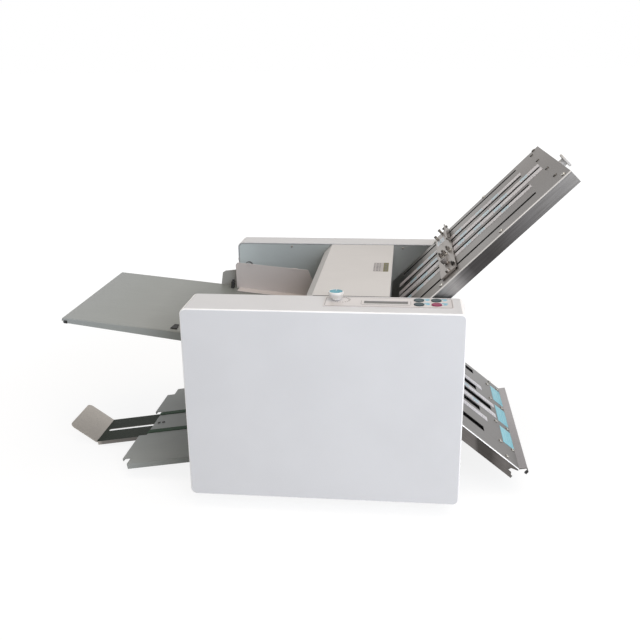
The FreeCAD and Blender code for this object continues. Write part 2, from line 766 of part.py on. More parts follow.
# cover screws through the covers' ends into the side frames' flanges
cover_screw_set = []
for y_face, outward in ((y_throat_front, -1), (y_throat_rear, 1)):
    y = y_face + outward * (frame_sheet + frame_flange * 0.55)
    for z in (cover_screw_inset, z_top - cover_screw_inset):
        for x_end, side in ((x_left, -1), (x_right, 1)):
            head = Part.makeCylinder(cover_screw_radius, cover_screw_height, V(x_end, y, z), V(side, 0, 0))
            shank_length = cover_sheet + frame_rim_gap + frame_sheet + 2
            shank = Part.makeCylinder(screw_shank_radius, shank_length, V(x_end, y, z), V(-side, 0, 0))
            one = head.fuse(shank).removeSplitter()
            cover_screw_set.append(one)
            hole = Part.makeCylinder(screw_shank_radius, shank_length + 2, V(x_end + side, y, z), V(-side, 0, 0))
            if outward < 0:
                nodes["front_cover"] = nodes["front_cover"].cut(hole)
                nodes["front_side_frame"] = nodes["front_side_frame"].cut(hole)
            else:
                nodes["rear_cover"] = nodes["rear_cover"].cut(hole)
                nodes["rear_side_frame"] = nodes["rear_side_frame"].cut(hole)
nodes["cover_screws"] = group(cover_screw_set)

# ---------------------------------------------------------------- rollers, gears, bushes
bushes = []
for axis in shaft_axes:
    for y_in, outward in ((y_throat_front, -1), (y_throat_rear, 1)):
        y0, y1 = sorted((y_in, y_in + outward * (frame_sheet + bush_flange)))
        ring = pipe(axis, bush_radius, journal_radius + running_clearance, y0, y1)
        y0, y1 = sorted((y_in, y_in - outward * bush_flange))
        ring = ring.fuse(pipe(axis, bush_radius + 1.5, journal_radius + running_clearance, y0, y1))
        bushes.append(ring.removeSplitter())
nodes["roller_bearings"] = group(bushes)


def shaft(axis, y0, y1, core, core_y0, core_y1):
    """Shaft with thin ends and a thicker middle."""
    return rod(axis, journal_radius, y0, y1).fuse(rod(axis, core, core_y0, core_y1)).removeSplitter()


sleeve_length = (roller_length - sleeve_gap * (sleeve_count - 1)) / sleeve_count
gear_end = gear_y - 1.0
for name, axis in roller_axes.items():
    y_start = pulley_y - 2.0 if name == "fold_roller_2" else gear_end
    y_end = y_throat_rear + frame_sheet + shaft_end
    if name == "fold_roller_4":
        y_end = rear_pulley_y + pulley_width + 2.0
    pieces = [shaft(axis, y_start, y_end, roller_core_radius, y_path_near - 3, y_path_far + 3)]
    for i in range(sleeve_count):
        y0 = y_path_near + i * (sleeve_length + sleeve_gap)
        pieces.append(pipe(axis, roller_radius, roller_core_radius, y0, y0 + sleeve_length))
    if name == "fold_roller_4":
        pieces.append(pulley(axis, exit_pulley_teeth, rear_pulley_y, journal_radius))
    nodes[name] = group(pieces)
    number = name[-1]
    phase = 0.0 if axis == main_axis else meshed_phase(main_axis, 0.0, axis)
    nodes["fold_gear_" + number] = gear(axis, phase, gear_y)

nodes["roller_pulley"] = pulley(main_axis, roller_pulley_teeth, pulley_y, journal_radius)

# feed roller: shaft, three hubs and three rubber tyres
feed_drive_y = y_throat_rear + frame_sheet + feed_drive_end
feed_pieces = [shaft(feed_axis, y_throat_front - frame_sheet - shaft_end, feed_drive_y, feed_core_radius,
                     y_throat_front + bush_flange + feed_core_gap, y_throat_rear - bush_flange - feed_core_gap)]
for i in (-1, 0, 1):
    y0 = paper_centre_y + i * feed_tyre_pitch - feed_tyre_width / 2
    feed_pieces.append(pipe(feed_axis, feed_hub_radius, feed_core_radius, y0, y0 + feed_tyre_width))
    feed_pieces.append(pipe(feed_axis, feed_roller_radius, feed_hub_radius, y0, y0 + feed_tyre_width))
nodes["feed_roller"] = group(feed_pieces)

feed_motor_y0 = y_throat_rear + frame_sheet + bush_flange
feed_motor = rod(feed_axis, feed_motor_radius, feed_motor_y0, y_rear - cover_sheet - 6)
feed_motor = feed_motor.cut(rod(feed_axis, journal_radius + running_clearance, feed_motor_y0 - 1,
                                feed_drive_y + 0.5))
feed_motor = feed_motor.fuse(pipe(feed_axis, feed_motor_radius, bush_radius + 1, y_throat_rear + frame_sheet, feed_motor_y0))
nodes["feed_motor"] = feed_motor.removeSplitter()

# main motor on the front frame, its shaft and pulley
motor_body = rod(motor_axis, motor_radius, y_throat_front, y_throat_front + motor_length)
motor_body = motor_body.makeFillet(3.0, [e for e in motor_body.Edges
                                         if abs(e.CenterOfMass.y - y_throat_front - motor_length) < 1e-6
                                         and e.Closed])
motor_body = motor_body.fuse(rod(motor_axis, motor_radius / 3 - 0.2, y_throat_front - frame_sheet, y_throat_front))
motor_body = motor_body.cut(rod(motor_axis, journal_radius + running_clearance, y_throat_front - frame_sheet - 1,
                                y_throat_front + 20))
nodes["main_motor"] = motor_body.removeSplitter()
motor_shaft = rod(motor_axis, journal_radius, pulley_y - 2, y_throat_front + 19.5)
nodes["motor_pulley"] = pulley(motor_axis, motor_pulley_teeth, pulley_y, journal_radius).fuse(motor_shaft).removeSplitter()

# ---------------------------------------------------------------- delivery tray and belts
tray_cos = math.cos(math.radians(tray_angle))
tray_origin = (0.0, tray_height_at_middle)
tray_y0 = paper_centre_y - tray_width / 2
tray_y1 = paper_centre_y + tray_width / 2
tray_u0 = tray_outer_x / tray_cos
tray_u1 = tray_inner_x / tray_cos
idler_u = idler_x / tray_cos
idler_depth = tray_sheet + 2 * delivery_belt_gap + delivery_belt_sheet + idler_radius
belt_centres = [paper_centre_y - delivery_belt_offset, paper_centre_y + delivery_belt_offset]

tray = folded_channel(tray_u0, tray_u1, tray_y0, tray_y1, tray_sheet, tray_flange)
lip_reach = delivery_belt_offset + delivery_belt_width / 2 + tray_lip_gap
for y0, y1 in ((tray_y0 + tray_lip_near, paper_centre_y - lip_reach),
               (paper_centre_y + lip_reach, tray_y1 - tray_lip_far)):
    lip = block(tray_u0 - tray_lip, tray_u0, y0, y1, -tray_sheet, 0)
    tray = tray.fuse(lip)
    tray = tray.fuse(block(tray_u0 - tray_lip, tray_u0 - tray_lip + tray_sheet, y0, y1, -tray_flange / 2, 0))
arm_screws_u = [tray_u0 + inset for inset in arm_screws_from_edge]
for u in arm_screws_u:
    tray = tray.cut(post(u, arm_centre_y, arm_screw_radius, -5, 5))
idler_pin_radius = idler_radius / 2
tray = tray.cut(Part.makeCylinder(idler_pin_radius, tray_width + 20, V(idler_u, tray_y0 - 10, -idler_depth), ALONG_Y))
tray = tray.removeSplitter()

idler = Part.makeCylinder(idler_radius, tray_width - 2 * tray_sheet - 2,
                          V(idler_u, tray_y0 + tray_sheet + 1, -idler_depth), ALONG_Y)
idler = idler.fuse(Part.makeCylinder(idler_pin_radius, tray_width, V(idler_u, tray_y0, -idler_depth), ALONG_Y))
nodes["tray_idler"] = lay(idler.removeSplitter(), tray_origin, tray_angle)

# the belts run over the tray, round its outer edge, back under it, over the idler and round the drum
drum_u = delivery_roller_x * tray_cos + (delivery_axis[1] - tray_height_at_middle) * math.sin(math.radians(tray_angle))
drum_w = -delivery_roller_x * math.sin(math.radians(tray_angle)) + (delivery_axis[1] - tray_height_at_middle) * tray_cos


def belt_loop(extra, y0, y1):
    """Solid inside the delivery belt's loop, grown by extra, in the tray's coordinates."""
    g = delivery_belt_gap + extra
    drum = delivery_drum_radius + belt_clearance + extra
    under = -tray_sheet - g
    tail_angle = math.radians(-97)
    far = V(drum_u + drum, y0, drum_w)
    top = V(drum_u, y0, drum_w + drum)
    tail = V(drum_u + drum * math.cos(tail_angle), y0, drum_w + drum * math.sin(tail_angle))
    turn = V(idler_u, y0, under)
    nose_low = V(tray_u0 - g, y0, under)
    nose_high = V(tray_u0 - g, y0, g)
    wire = Part.Wire([Part.Arc(top, far, tail).toShape(), Part.LineSegment(tail, turn).toShape(),
                      Part.LineSegment(turn, nose_low).toShape(), Part.LineSegment(nose_low, nose_high).toShape(),
                      Part.LineSegment(nose_high, top).toShape()])
    return Part.Face(wire).extrude(V(0, y1 - y0, 0))


loops = []
for y in belt_centres:
    y0, y1 = y - delivery_belt_width / 2, y + delivery_belt_width / 2
    loops.append(lay(belt_loop(delivery_belt_sheet, y0, y1).cut(belt_loop(0, y0 - 1, y1 + 1)),
                     tray_origin, tray_angle))
nodes["delivery_belts"] = group(loops)

delivery_pieces = [rod(delivery_axis, journal_radius, y_throat_front - frame_sheet - shaft_end,
                       rear_pulley_y + pulley_width + 2)]
for y in belt_centres:
    delivery_pieces.append(pipe(delivery_axis, delivery_drum_radius, journal_radius,
                                y - delivery_drum_width / 2, y + delivery_drum_width / 2))
delivery_pieces.append(pulley(delivery_axis, exit_pulley_teeth, rear_pulley_y, journal_radius))
nodes["delivery_roller"] = group(delivery_pieces)

drive_belts = [belt(motor_axis, pulley_radius(motor_pulley_teeth), main_axis, pulley_radius(roller_pulley_teeth),
                    pulley_y + 1.0, pulley_y + pulley_width - 1.0),
               belt(delivery_axis, pulley_radius(exit_pulley_teeth), exit_axis, pulley_radius(exit_pulley_teeth),
                    rear_pulley_y + 1.0, rear_pulley_y + pulley_width - 1.0)]
nodes["drive_belts"] = group(drive_belts)

# ---------------------------------------------------------------- delivery arm and its screws
arm_top = -(tray_sheet + delivery_belt_gap + delivery_belt_sheet + arm_clearance)
arm_u0 = arm_bend_x / tray_cos
arm_u1 = arm_inner_x / tray_cos
arm_y0 = arm_centre_y - arm_width / 2
arm_y1 = arm_centre_y + arm_width / 2
flap_a = math.radians(arm_flap_angle + tray_angle)
flap_end = (arm_u0 - arm_flap_length * math.cos(flap_a), arm_top + arm_flap_length * math.sin(flap_a))
arm = bent_sheet([(flap_end[0], flap_end[1]), (arm_u0, arm_top), (arm_u1, arm_top)], arm_sheet, arm_y0, arm_y1)
corner_edges = [e for e in arm.Edges if e.Length < arm_sheet * 1.3
                and abs(e.CenterOfMass.x - flap_end[0]) < arm_sheet * 1.5
                and abs(abs(e.CenterOfMass.y - arm_centre_y) - arm_width / 2) < 1e-6]
arm = arm.makeFillet(arm_flap_radius, corner_edges)
arm_slot_u0 = arm_u0 + arm_slot_end_inset + arm_slot_width / 2
arm_slot_u1 = arm_u1 - 14 - arm_slot_width / 2
arm_slot = block(arm_slot_u0, arm_slot_u1, arm_centre_y - arm_slot_width / 2, arm_centre_y + arm_slot_width / 2,
                 arm_top - 5, arm_top + 1)
for u in (arm_slot_u0, arm_slot_u1):
    arm_slot = arm_slot.fuse(post(u, arm_centre_y, arm_slot_width / 2, arm_top - 5, arm_top + 1))
for y in (arm_y0, arm_y1 - arm_sheet):
    arm = arm.fuse(block(arm_u0 + 2, arm_u1, y, y + arm_sheet, arm_top - arm_flange, arm_top))
arm = arm.cut(arm_slot).removeSplitter()
nodes["delivery_arm"] = lay(arm, tray_origin, tray_angle)

# two screws with sleeves in the arm's slot, and the washer plate under it
washer_top = arm_top - arm_sheet - arm_clearance
washer_half = arm_slot_width / 2 + arm_washer_margin
holder_set = block(arm_screws_u[0] - washer_half, arm_screws_u[-1] + washer_half,
                   arm_centre_y - washer_half, arm_centre_y + washer_half, washer_top - arm_washer, washer_top)
for u in arm_screws_u:
    holder_set = holder_set.fuse(post(u, arm_centre_y, arm_sleeve_radius, washer_top, -tray_sheet))
    holder_set = holder_set.fuse(post(u, arm_centre_y, arm_screw_radius, -tray_sheet, 0))
    holder_set = holder_set.fuse(post(u, arm_centre_y, arm_screw_head, 0, arm_screw_head_height))
nodes["tray_screws"] = lay(holder_set.removeSplitter(), tray_origin, tray_angle)

# ---------------------------------------------------------------- feed table and separator
table_cos = math.cos(math.radians(table_angle))
table_origin = (0.0, table_z(0.0))
table_y0 = paper_centre_y + table_offset_y - table_width / 2
table_y1 = table_y0 + table_width
table_u0 = table_outer_x / table_cos
table_u1 = table_inner_x / table_cos
housing_u = x_left / table_cos

table = folded_channel(table_u0, table_u1, table_y0, table_y1, table_sheet, table_flange_inner)
below_walls = [(table_u0 - 1, -table_flange_outer), (table_u0, -table_flange_outer),
               (housing_u - 10, -table_flange_inner), (housing_u - 10, -table_flange_inner - 1),
               (table_u0 - 1, -table_flange_inner - 1)]
table = table.cut(slab(below_walls, table_y0 - 1, table_y1 + 1))
end_lip = [(table_u0, 0), (table_u0 - table_lip * 0.35, -1.5), (table_u0 - table_lip * 0.5, -table_lip),
           (table_u0 - table_lip * 0.5 + table_sheet, -table_lip), (table_u0 + table_sheet, -1.5)]
table = table.fuse(slab(end_lip, table_y0 + bend_radius, table_y1 - bend_radius))
cheek_u = (x_left - cheek_from_housing) / table_cos
cheek = [(cheek_u - 1, 0), (cheek_u, 22), (cheek_u + 5, 26), (cheek_u + cheek_length, cheek_height),
         (cheek_u + cheek_length, -table_sheet), (cheek_u - 1, -table_sheet)]
table = table.fuse(slab(cheek, table_y1 - table_sheet, table_y1))
slot_u = guide_slot_x / table_cos
for y_start, y_stop in ((paper_centre_y + 28, paper_centre_y + guide_slot_reach),
                        (paper_centre_y - guide_slot_reach, paper_centre_y - 28)):
    cutter = block(slot_u - guide_slot_width / 2, slot_u + guide_slot_width / 2, y_start, y_stop, -5, 5)
    for y in (y_start, y_stop):
        cutter = cutter.fuse(post(slot_u, y, guide_slot_width / 2, -5, 5))
    table = table.cut(cutter)
feed_u = feed_axis[0] * table_cos - (feed_axis[1] - table_origin[1]) * math.sin(math.radians(table_angle))
pad_half = feed_tyre_pitch + feed_tyre_width / 2 + pad_margin
pad_u0, pad_u1 = feed_u - pad_before, feed_u + pad_behind
table = table.cut(block(pad_u0, pad_u1, paper_centre_y - pad_half, paper_centre_y + pad_half, -5, 5))
nodes["feed_table"] = lay(table.removeSplitter(), table_origin, table_angle * -1)

pad_y0, pad_y1 = paper_centre_y - pad_half, paper_centre_y + pad_half
pad = block(pad_u0 + 0.2, pad_u1 - 0.2, pad_y0 + 0.2, pad_y1 - 0.2, -pad_sheet, 0)
holder = block(pad_u0 - holder_rim, pad_u1 + holder_rim, pad_y0, pad_y1, -pad_sheet - holder_sheet, -pad_sheet)
holder = holder.fuse(block(pad_u0 - holder_rim, pad_u0 - 1, pad_y0, pad_y1, -pad_sheet, -table_sheet))
holder = holder.fuse(block(pad_u1 + 1, pad_u1 + holder_rim, pad_y0, pad_y1, -pad_sheet, -table_sheet))
nodes["separator_pad"] = group([lay(pad, table_origin, -table_angle),
                                lay(holder.removeSplitter(), table_origin, -table_angle)])

# chute that bends the folded sheet down on to the delivery belts
chute_line = [(main_axis[0] + dx, main_axis[1] + dz) for dx, dz in chute_bends]
nodes["paper_chute"] = bent_sheet(chute_line, plate_sheet, y_throat_front, y_throat_rear)

# ---------------------------------------------------------------- side guides
guide_u0 = guide_left_x / table_cos
guide_u1 = guide_right_x / table_cos
knob_u = guide_knob_x / table_cos


def side_guide(y_paper, outward):
    """Upright plate with a foot on the table under the paper, and a stud through the table's slot."""
    y0, y1 = sorted((y_paper, y_paper + outward * guide_sheet))
    outline = [(guide_u0 + 5, guide_gap), (guide_u1, guide_gap), (guide_u1, guide_height - 18),
               (guide_u1 - 10, guide_height + 1), (guide_u0 + 3, guide_height), (guide_u0, guide_height - 4)]
    plate = slab(outline, y0, y1)
    f0, f1 = sorted((y_paper, y_paper - outward * guide_foot))
    foot = block(guide_u0 + 10, guide_u1 - 10, f0, f1, guide_gap, guide_gap + guide_sheet)
    y_stud = y_paper - outward * guide_foot * 0.6
    stud = post(slot_u, y_stud, guide_stud_radius, -table_sheet - guide_gap - 2, guide_gap + guide_sheet)
    nut = post(slot_u, y_stud, guide_stud_radius * 2.2, -table_sheet - guide_gap - 2, -table_sheet - guide_gap)
    body = plate.fuse(foot).fuse(stud).fuse(nut)
    bore0, bore1 = sorted((y_paper - outward, y_paper + outward * (guide_sheet + 1)))
    bore = Part.makeCylinder(2.0 + running_clearance, bore1 - bore0, V(knob_u, bore0, guide_knob_height), ALONG_Y)
    return body.cut(bore).removeSplitter()


def guide_knob(y_paper, outward):
    back = y_paper + outward * (guide_sheet + 0.3)
    k0, k1 = sorted((back, back + outward * guide_knob_length))
    s0, s1 = sorted((y_paper, back))
    disc = Part.makeCylinder(guide_knob_radius, k1 - k0, V(knob_u, k0, guide_knob_height), ALONG_Y)
    stem = Part.makeCylinder(2.0, s1 - s0, V(knob_u, s0, guide_knob_height), ALONG_Y)
    return disc.fuse(stem).removeSplitter()


for name, y, outward in (("far_guide", far_guide_y, 1), ("near_guide", near_guide_y, -1)):
    nodes[name] = lay(side_guide(y, outward), table_origin, -table_angle)
    nodes[name + "_knob"] = lay(guide_knob(y, outward), table_origin, -table_angle)

# ---------------------------------------------------------------- centre cover on its hinge
cover_z = z_top - centre_cover_drop
cover_y0 = y_throat_front + centre_cover_side_gap
cover_y1 = y_throat_rear - centre_cover_side_gap
hinge_axis = (centre_cover_right - hinge_inset, cover_z - hinge_drop)
cover_line = [(centre_cover_left - slant_run, cover_z - slant_drop), (centre_cover_left, cover_z),
              (centre_cover_right, cover_z), (centre_cover_right, cover_z - centre_cover_back)]
centre_cover = bent_sheet(cover_line, centre_cover_sheet, cover_y0, cover_y1)
ear_outline = [(centre_cover_right - 15, cover_z - 0.5), (centre_cover_right - 0.5, cover_z - 0.5),
               (centre_cover_right - 0.5, cover_z - 11), (centre_cover_right - 11, cover_z - 11)]
for y in (cover_y0, cover_y1 - centre_cover_sheet):
    centre_cover = centre_cover.fuse(slab(ear_outline, y, y + centre_cover_sheet))
centre_cover = centre_cover.cut(rod(hinge_axis, hinge_pin_radius + running_clearance, cover_y0 - 1, cover_y1 + 1))
nodes["centre_cover"] = centre_cover.removeSplitter()
cover_pins = [rod(hinge_axis, hinge_pin_radius, y_throat_front, y_throat_front + hinge_pin_reach),
              rod(hinge_axis, hinge_pin_radius, y_throat_rear - hinge_pin_reach, y_throat_rear)]

# ---------------------------------------------------------------- upper folding plate
upper_origin = (upper_axis[0] + upper_mouth_dx, upper_axis[1] + upper_mouth_dz)
upper_y0 = paper_centre_y - upper_width / 2
upper_y1 = paper_centre_y + upper_width / 2


def long_slot(u0, u1, y, width):
    """Cutter for a slot with square ends, from u0 to u1 along the plate."""
    return block(u0, u1, y - width / 2, y + width / 2, -12, 12)


def plate_face(length, width, wall, screw_places):
    """Sheet with two side walls and a hole for each of its screws."""
    face = folded_channel(0, length, paper_centre_y - width / 2, paper_centre_y + width / 2, plate_sheet, wall)
    for u, y in screw_places:
        face = face.cut(post(u, y, screw_shank_radius, -plate_sheet - 1, 1))
    return face


upper_screws = [(upper_length - upper_end_row, paper_centre_y + y) for y, end in upper_slots
                if y != upper_slots[2][0]]
for before_end in upper_edge_row:
    upper_screws += [(upper_length - before_end, upper_y0 + screw_inset),
                     (upper_length - before_end, upper_y1 - screw_head_radius - bend_radius)]
face = plate_face(upper_length, upper_width, upper_wall, upper_screws)
for y, before_end in upper_slots:
    face = face.cut(long_slot(upper_slot_start, upper_length - before_end, paper_centre_y + y, upper_slot_width))
nodes["upper_plate_face"] = lay(face.removeSplitter(), upper_origin, upper_angle)



def plate_back(length, y0, y1):
    """Back sheet between a plate's walls, with a spacer strip along each wall."""
    top = -plate_sheet - plate_gap
    back = block(2, length, y0 + plate_sheet, y1 - plate_sheet, top - plate_sheet, top)
    for y in (y0 + bend_radius, y1 - bend_radius - spacer_width):
        back = back.fuse(block(2, length, y, y + spacer_width, top, -plate_sheet))
    return back.removeSplitter()


upper_back = plate_back(upper_length - end_bar_length - 1, upper_y0, upper_y1)
nodes["upper_plate_back"] = lay(upper_back, upper_origin, upper_angle)

end_knob_w = -end_knob_depth
end_bar = block(upper_length - end_bar_length, upper_length, upper_y0 + plate_sheet, upper_y1 - plate_sheet,
                -upper_wall + 2, -plate_sheet)
end_bar = end_bar.makeChamfer(bend_radius - plate_sheet + 0.2,
                              [e for e in end_bar.Edges if abs(e.CenterOfMass.z + plate_sheet) < 1e-6
                               and abs(e.Vertexes[0].X - e.Vertexes[-1].X) > 1])
knob_stud_radius = 3.0
bar_bore = Part.makeCylinder(knob_stud_radius + running_clearance, end_bar_length + 2,
                             V(upper_length - end_bar_length - 1, end_knob_y, end_knob_w), V(1, 0, 0))
nodes["upper_end_bar"] = lay(end_bar.cut(bar_bore), upper_origin, upper_angle)

knob_start = upper_length + 0.4
stem = Part.makeCylinder(end_knob_stem_radius, end_knob_stem_length, V(knob_start, end_knob_y, end_knob_w), V(1, 0, 0))
cap = Part.makeCylinder(end_knob_cap_radius, end_knob_cap_length,
                        V(knob_start + end_knob_stem_length, end_knob_y, end_knob_w), V(1, 0, 0))
cap = cap.makeFillet(0.8, [e for e in cap.Edges if e.Closed])
stud = Part.makeCylinder(knob_stud_radius, end_bar_length + 0.4,
                         V(upper_length - end_bar_length, end_knob_y, end_knob_w), V(1, 0, 0))
nodes["end_knob"] = lay(stem.fuse(cap).fuse(stud).removeSplitter(), upper_origin, upper_angle)

# ---------------------------------------------------------------- lower folding plate
lower_origin = (exit_axis[0] + lower_mouth_dx, exit_axis[1] + lower_mouth_dz)
lower_y0 = paper_centre_y - lower_width / 2
lower_y1 = paper_centre_y + lower_width / 2
lower_screws = [(lower_length - before_end, paper_centre_y + y) for before_end, row in lower_rows for y in row]
lower_screws += [(lower_length - lower_edge_rivet, lower_y0 + screw_inset),
                 (lower_length - lower_edge_rivet, lower_y1 - screw_inset / 2)]
face = plate_face(lower_length, lower_width, lower_wall, lower_screws)
lip_a = math.radians(lower_lip_angle - lower_angle)
lip_end = (lower_length + lower_lip * math.cos(lip_a), lower_lip * math.sin(lip_a))
turn_a = lip_a - math.radians(80)
lip_return = (lip_end[0] + lower_lip_return * math.cos(turn_a), lip_end[1] + lower_lip_return * math.sin(turn_a))
face = face.fuse(bent_sheet([(lower_length - 1, 0), (lower_length, 0), lip_end, lip_return], plate_sheet,
                            lower_y0 + bend_radius, lower_y1 - bend_radius))
for y, before_end in lower_slots:
    face = face.cut(long_slot(lower_slot_start, lower_length - before_end, paper_centre_y + y, lower_slot_width))
# hook at the outer end of each side wall
for y in (lower_y0 - 1, lower_y1 - plate_sheet - 1):
    notch = slab([(lower_length - 11, -7), (lower_length + 2, -3), (lower_length + 2, -lower_wall + 4),
                  (lower_length - 3, -lower_wall + 4), (lower_length - 6, -12), (lower_length - 12, -12)],
                 y, y + plate_sheet + 2)
    face = face.cut(notch)
nodes["lower_plate_face"] = lay(face.removeSplitter(), lower_origin, lower_angle)

lower_back = plate_back(lower_length - lower_back_end, lower_y0, lower_y1)
nodes["lower_plate_back"] = lay(lower_back, lower_origin, lower_angle)

# scales, labels and screws of both plates
scales = []
for length, strips, origin, angle in ((upper_length, upper_scales, upper_origin, upper_angle),
                                      (lower_length, lower_scales, lower_origin, lower_angle)):
    for y0, y1, before_end in strips:
        strip = block(scale_start, length - before_end, paper_centre_y + y0, paper_centre_y + y1, 0, scale_sheet)
        scales.append(lay(strip, origin, angle))
nodes["plate_scales"] = group(scales)
labels = []
for y0, y1 in lower_labels:
    label_u1 = lower_length - lower_label_end
    labels.append(lay(block(label_u1 - lower_label_length, label_u1,
                            paper_centre_y + y0, paper_centre_y + y1, 0, scale_sheet / 2),
                      lower_origin, lower_angle))
nodes["lower_plate_labels"] = group(labels)

plate_screws = [lay(screw(u, y, 0, plate_sheet), upper_origin, upper_angle) for u, y in upper_screws]
plate_screws += [lay(screw(u, y, 0, plate_sheet), lower_origin, lower_angle) for u, y in lower_screws]
nodes["plate_screws"] = group(plate_screws)


# ---------------------------------------------------------------- paper stops
def hex_nut(u, y, z):
    """Hex nut that stands on the bar."""
    corners = [V(u + stop_nut_radius * math.cos(math.radians(60 * i)), y + stop_nut_radius * math.sin(math.radians(60 * i)), z)
               for i in range(6)]
    return Part.Face(Part.makePolygon(corners + [corners[0]])).extrude(V(0, 0, stop_nut_height))


def paper_stop(place, slots, width):
    """Cross bar over the slots, with a finger down each slot, its clamp knob, nuts and studs."""
    y0 = paper_centre_y + min(y for y, before_end in slots) - stop_near_margin
    y1 = paper_centre_y + width / 2 - stop_far_gap
    u0, u1 = place - stop_width / 2, place + stop_width / 2
    z0, z1 = stop_bar_lift, stop_bar_lift + stop_bar_sheet
    bar = block(u0, u1, y0, y1, z0, z1)
    bar = bar.fuse(block(u1 - stop_bar_sheet, u1, stop_flange_y, y1, z1, z1 + stop_flange_height))
    for y, before_end in slots:
        y_finger = paper_centre_y + y
        bar = bar.fuse(post(place, y_finger, stop_finger_radius, -plate_sheet - plate_gap + 0.4, z0))
    for y in (y0 + 4, y1 - 8):
        bar = bar.fuse(block(u0 + 4, u1 - 4, y - 3, y + 3, stop_foot_gap, z0))
    z_knob = z1 + stop_knob_foot
    bar = bar.fuse(post(place, stop_knob_y, stop_knob_radius * 0.6, z1, z_knob))
    bar = bar.fuse(post(place, stop_knob_y, stop_knob_radius, z_knob, z_knob + stop_knob_height))
    bar = bar.fuse(post(place, stop_screw_y, stop_screw_radius, z1, z1 + stop_screw_height))
    for du, y in stop_nuts:
        bar = bar.fuse(hex_nut(place + du, y, z1))
    for du, before_end in stop_studs:
        y, z_head = y1 - before_end, z1 + stop_stud_height
        bar = bar.fuse(post(place + du, y, stop_stud_radius, z1, z_head))
        bar = bar.fuse(post(place + du, y, stop_stud_head, z_head, z_head + stop_stud_head_height))
    return bar.removeSplitter()


nodes["upper_stop"] = lay(paper_stop(upper_stop_place, upper_slots, upper_width), upper_origin, upper_angle)
nodes["lower_stop"] = lay(paper_stop(lower_stop_place, lower_slots, lower_width), lower_origin, lower_angle)

# ---------------------------------------------------------------- studs that carry plates, tray and cover
studs = list(cover_pins)


def stud_pair(origin, angle, u, w, y0, y1, wall, node, radius=stud_radius):
    """Two frame studs into a piece's side walls, near and far, with holes in those walls."""
    a = math.radians(angle)
    axis = (origin[0] + u * math.cos(a) - w * math.sin(a), origin[1] + u * math.sin(a) + w * math.cos(a))
    studs.append(rod(axis, radius, y_throat_front, y0 + wall))
    studs.append(rod(axis, radius, y1 - wall, y_throat_rear))
    nodes[node] = nodes[node].cut(rod(axis, radius, y_throat_front - 1, y_throat_rear + 1))


for u in (plate_stud_inner, upper_stud_outer):
    stud_pair(upper_origin, upper_angle, u, -upper_stud_depth, upper_y0, upper_y1, plate_sheet, "upper_plate_face")
for u in (plate_stud_inner, lower_stud_outer):
    stud_pair(lower_origin, lower_angle, u, -lower_stud_depth, lower_y0, lower_y1, plate_sheet, "lower_plate_face")
nodes["delivery_tray"] = lay(tray, tray_origin, tray_angle)
for u in (x_left + tray_stud_outer, x_left + tray_stud_inner):
    stud_pair(tray_origin, tray_angle, u, -tray_stud_depth, tray_y0, tray_y1, tray_sheet, "delivery_tray", tray_stud_radius)
cover_rest = (centre_cover_left + 12, cover_z - centre_cover_sheet - 0.3 - stud_radius)
studs.append(rod(cover_rest, stud_radius, y_throat_front, y_throat_front + cover_stud_reach))
studs.append(rod(cover_rest, stud_radius, y_throat_rear - cover_stud_reach, y_throat_rear))
nodes["frame_studs"] = group(studs)

# ---------------------------------------------------------------- to the bench and out
whole = Part.makeCompound(list(nodes.values())).BoundBox
shift = V(-(whole.XMin + whole.XMax) / 2, -(whole.YMin + whole.YMax) / 2, -whole.ZMin)

os.makedirs("parts", exist_ok=True)
for name, shape in nodes.items():
    placed = shape.copy()
    placed.translate(shift)
    placed.exportStep("parts/" + name + ".step")
print(len(nodes), "nodes; box %.1f x %.1f x %.1f mm" % (whole.XLength, whole.YLength, whole.ZLength))
print("shift", shift)
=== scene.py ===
# %% [markdown]
# # A desk paper folding machine
# Two white housings hold the rollers of the machine. A feed table and a belt tray leave it on the
# left, and two slotted fold plates leave it on the right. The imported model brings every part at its
# real size and place. This lesson gives each part its finish, adds the small print, nuts and springs
# that a fingertip would find, and lights the machine as a catalogue would.

import json
import math

import bmesh
import bpy
from mathutils import Matrix, Vector


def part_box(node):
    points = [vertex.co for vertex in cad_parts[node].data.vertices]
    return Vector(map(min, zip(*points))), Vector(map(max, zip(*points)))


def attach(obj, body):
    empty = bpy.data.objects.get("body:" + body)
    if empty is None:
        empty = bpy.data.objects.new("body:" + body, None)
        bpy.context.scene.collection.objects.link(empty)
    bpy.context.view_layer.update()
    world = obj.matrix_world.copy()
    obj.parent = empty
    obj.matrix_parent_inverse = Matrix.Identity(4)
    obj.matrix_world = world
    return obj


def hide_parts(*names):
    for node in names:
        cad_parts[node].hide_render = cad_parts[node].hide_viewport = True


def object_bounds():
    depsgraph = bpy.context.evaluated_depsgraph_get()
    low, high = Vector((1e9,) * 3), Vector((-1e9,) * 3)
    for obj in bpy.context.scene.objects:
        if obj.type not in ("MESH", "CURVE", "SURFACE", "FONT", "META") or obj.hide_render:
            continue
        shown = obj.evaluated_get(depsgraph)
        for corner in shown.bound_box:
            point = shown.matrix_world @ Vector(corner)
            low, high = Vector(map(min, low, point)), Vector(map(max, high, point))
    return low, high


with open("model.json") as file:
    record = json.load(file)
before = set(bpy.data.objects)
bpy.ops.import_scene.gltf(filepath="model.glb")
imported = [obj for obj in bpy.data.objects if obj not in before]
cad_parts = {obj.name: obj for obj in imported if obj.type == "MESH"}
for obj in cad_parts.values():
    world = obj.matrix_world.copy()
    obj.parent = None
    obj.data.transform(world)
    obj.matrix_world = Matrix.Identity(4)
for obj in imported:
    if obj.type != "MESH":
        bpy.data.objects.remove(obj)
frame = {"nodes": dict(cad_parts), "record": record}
cad_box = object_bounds()
nodes = frame["nodes"]
print("parts in the frame:", len(nodes))

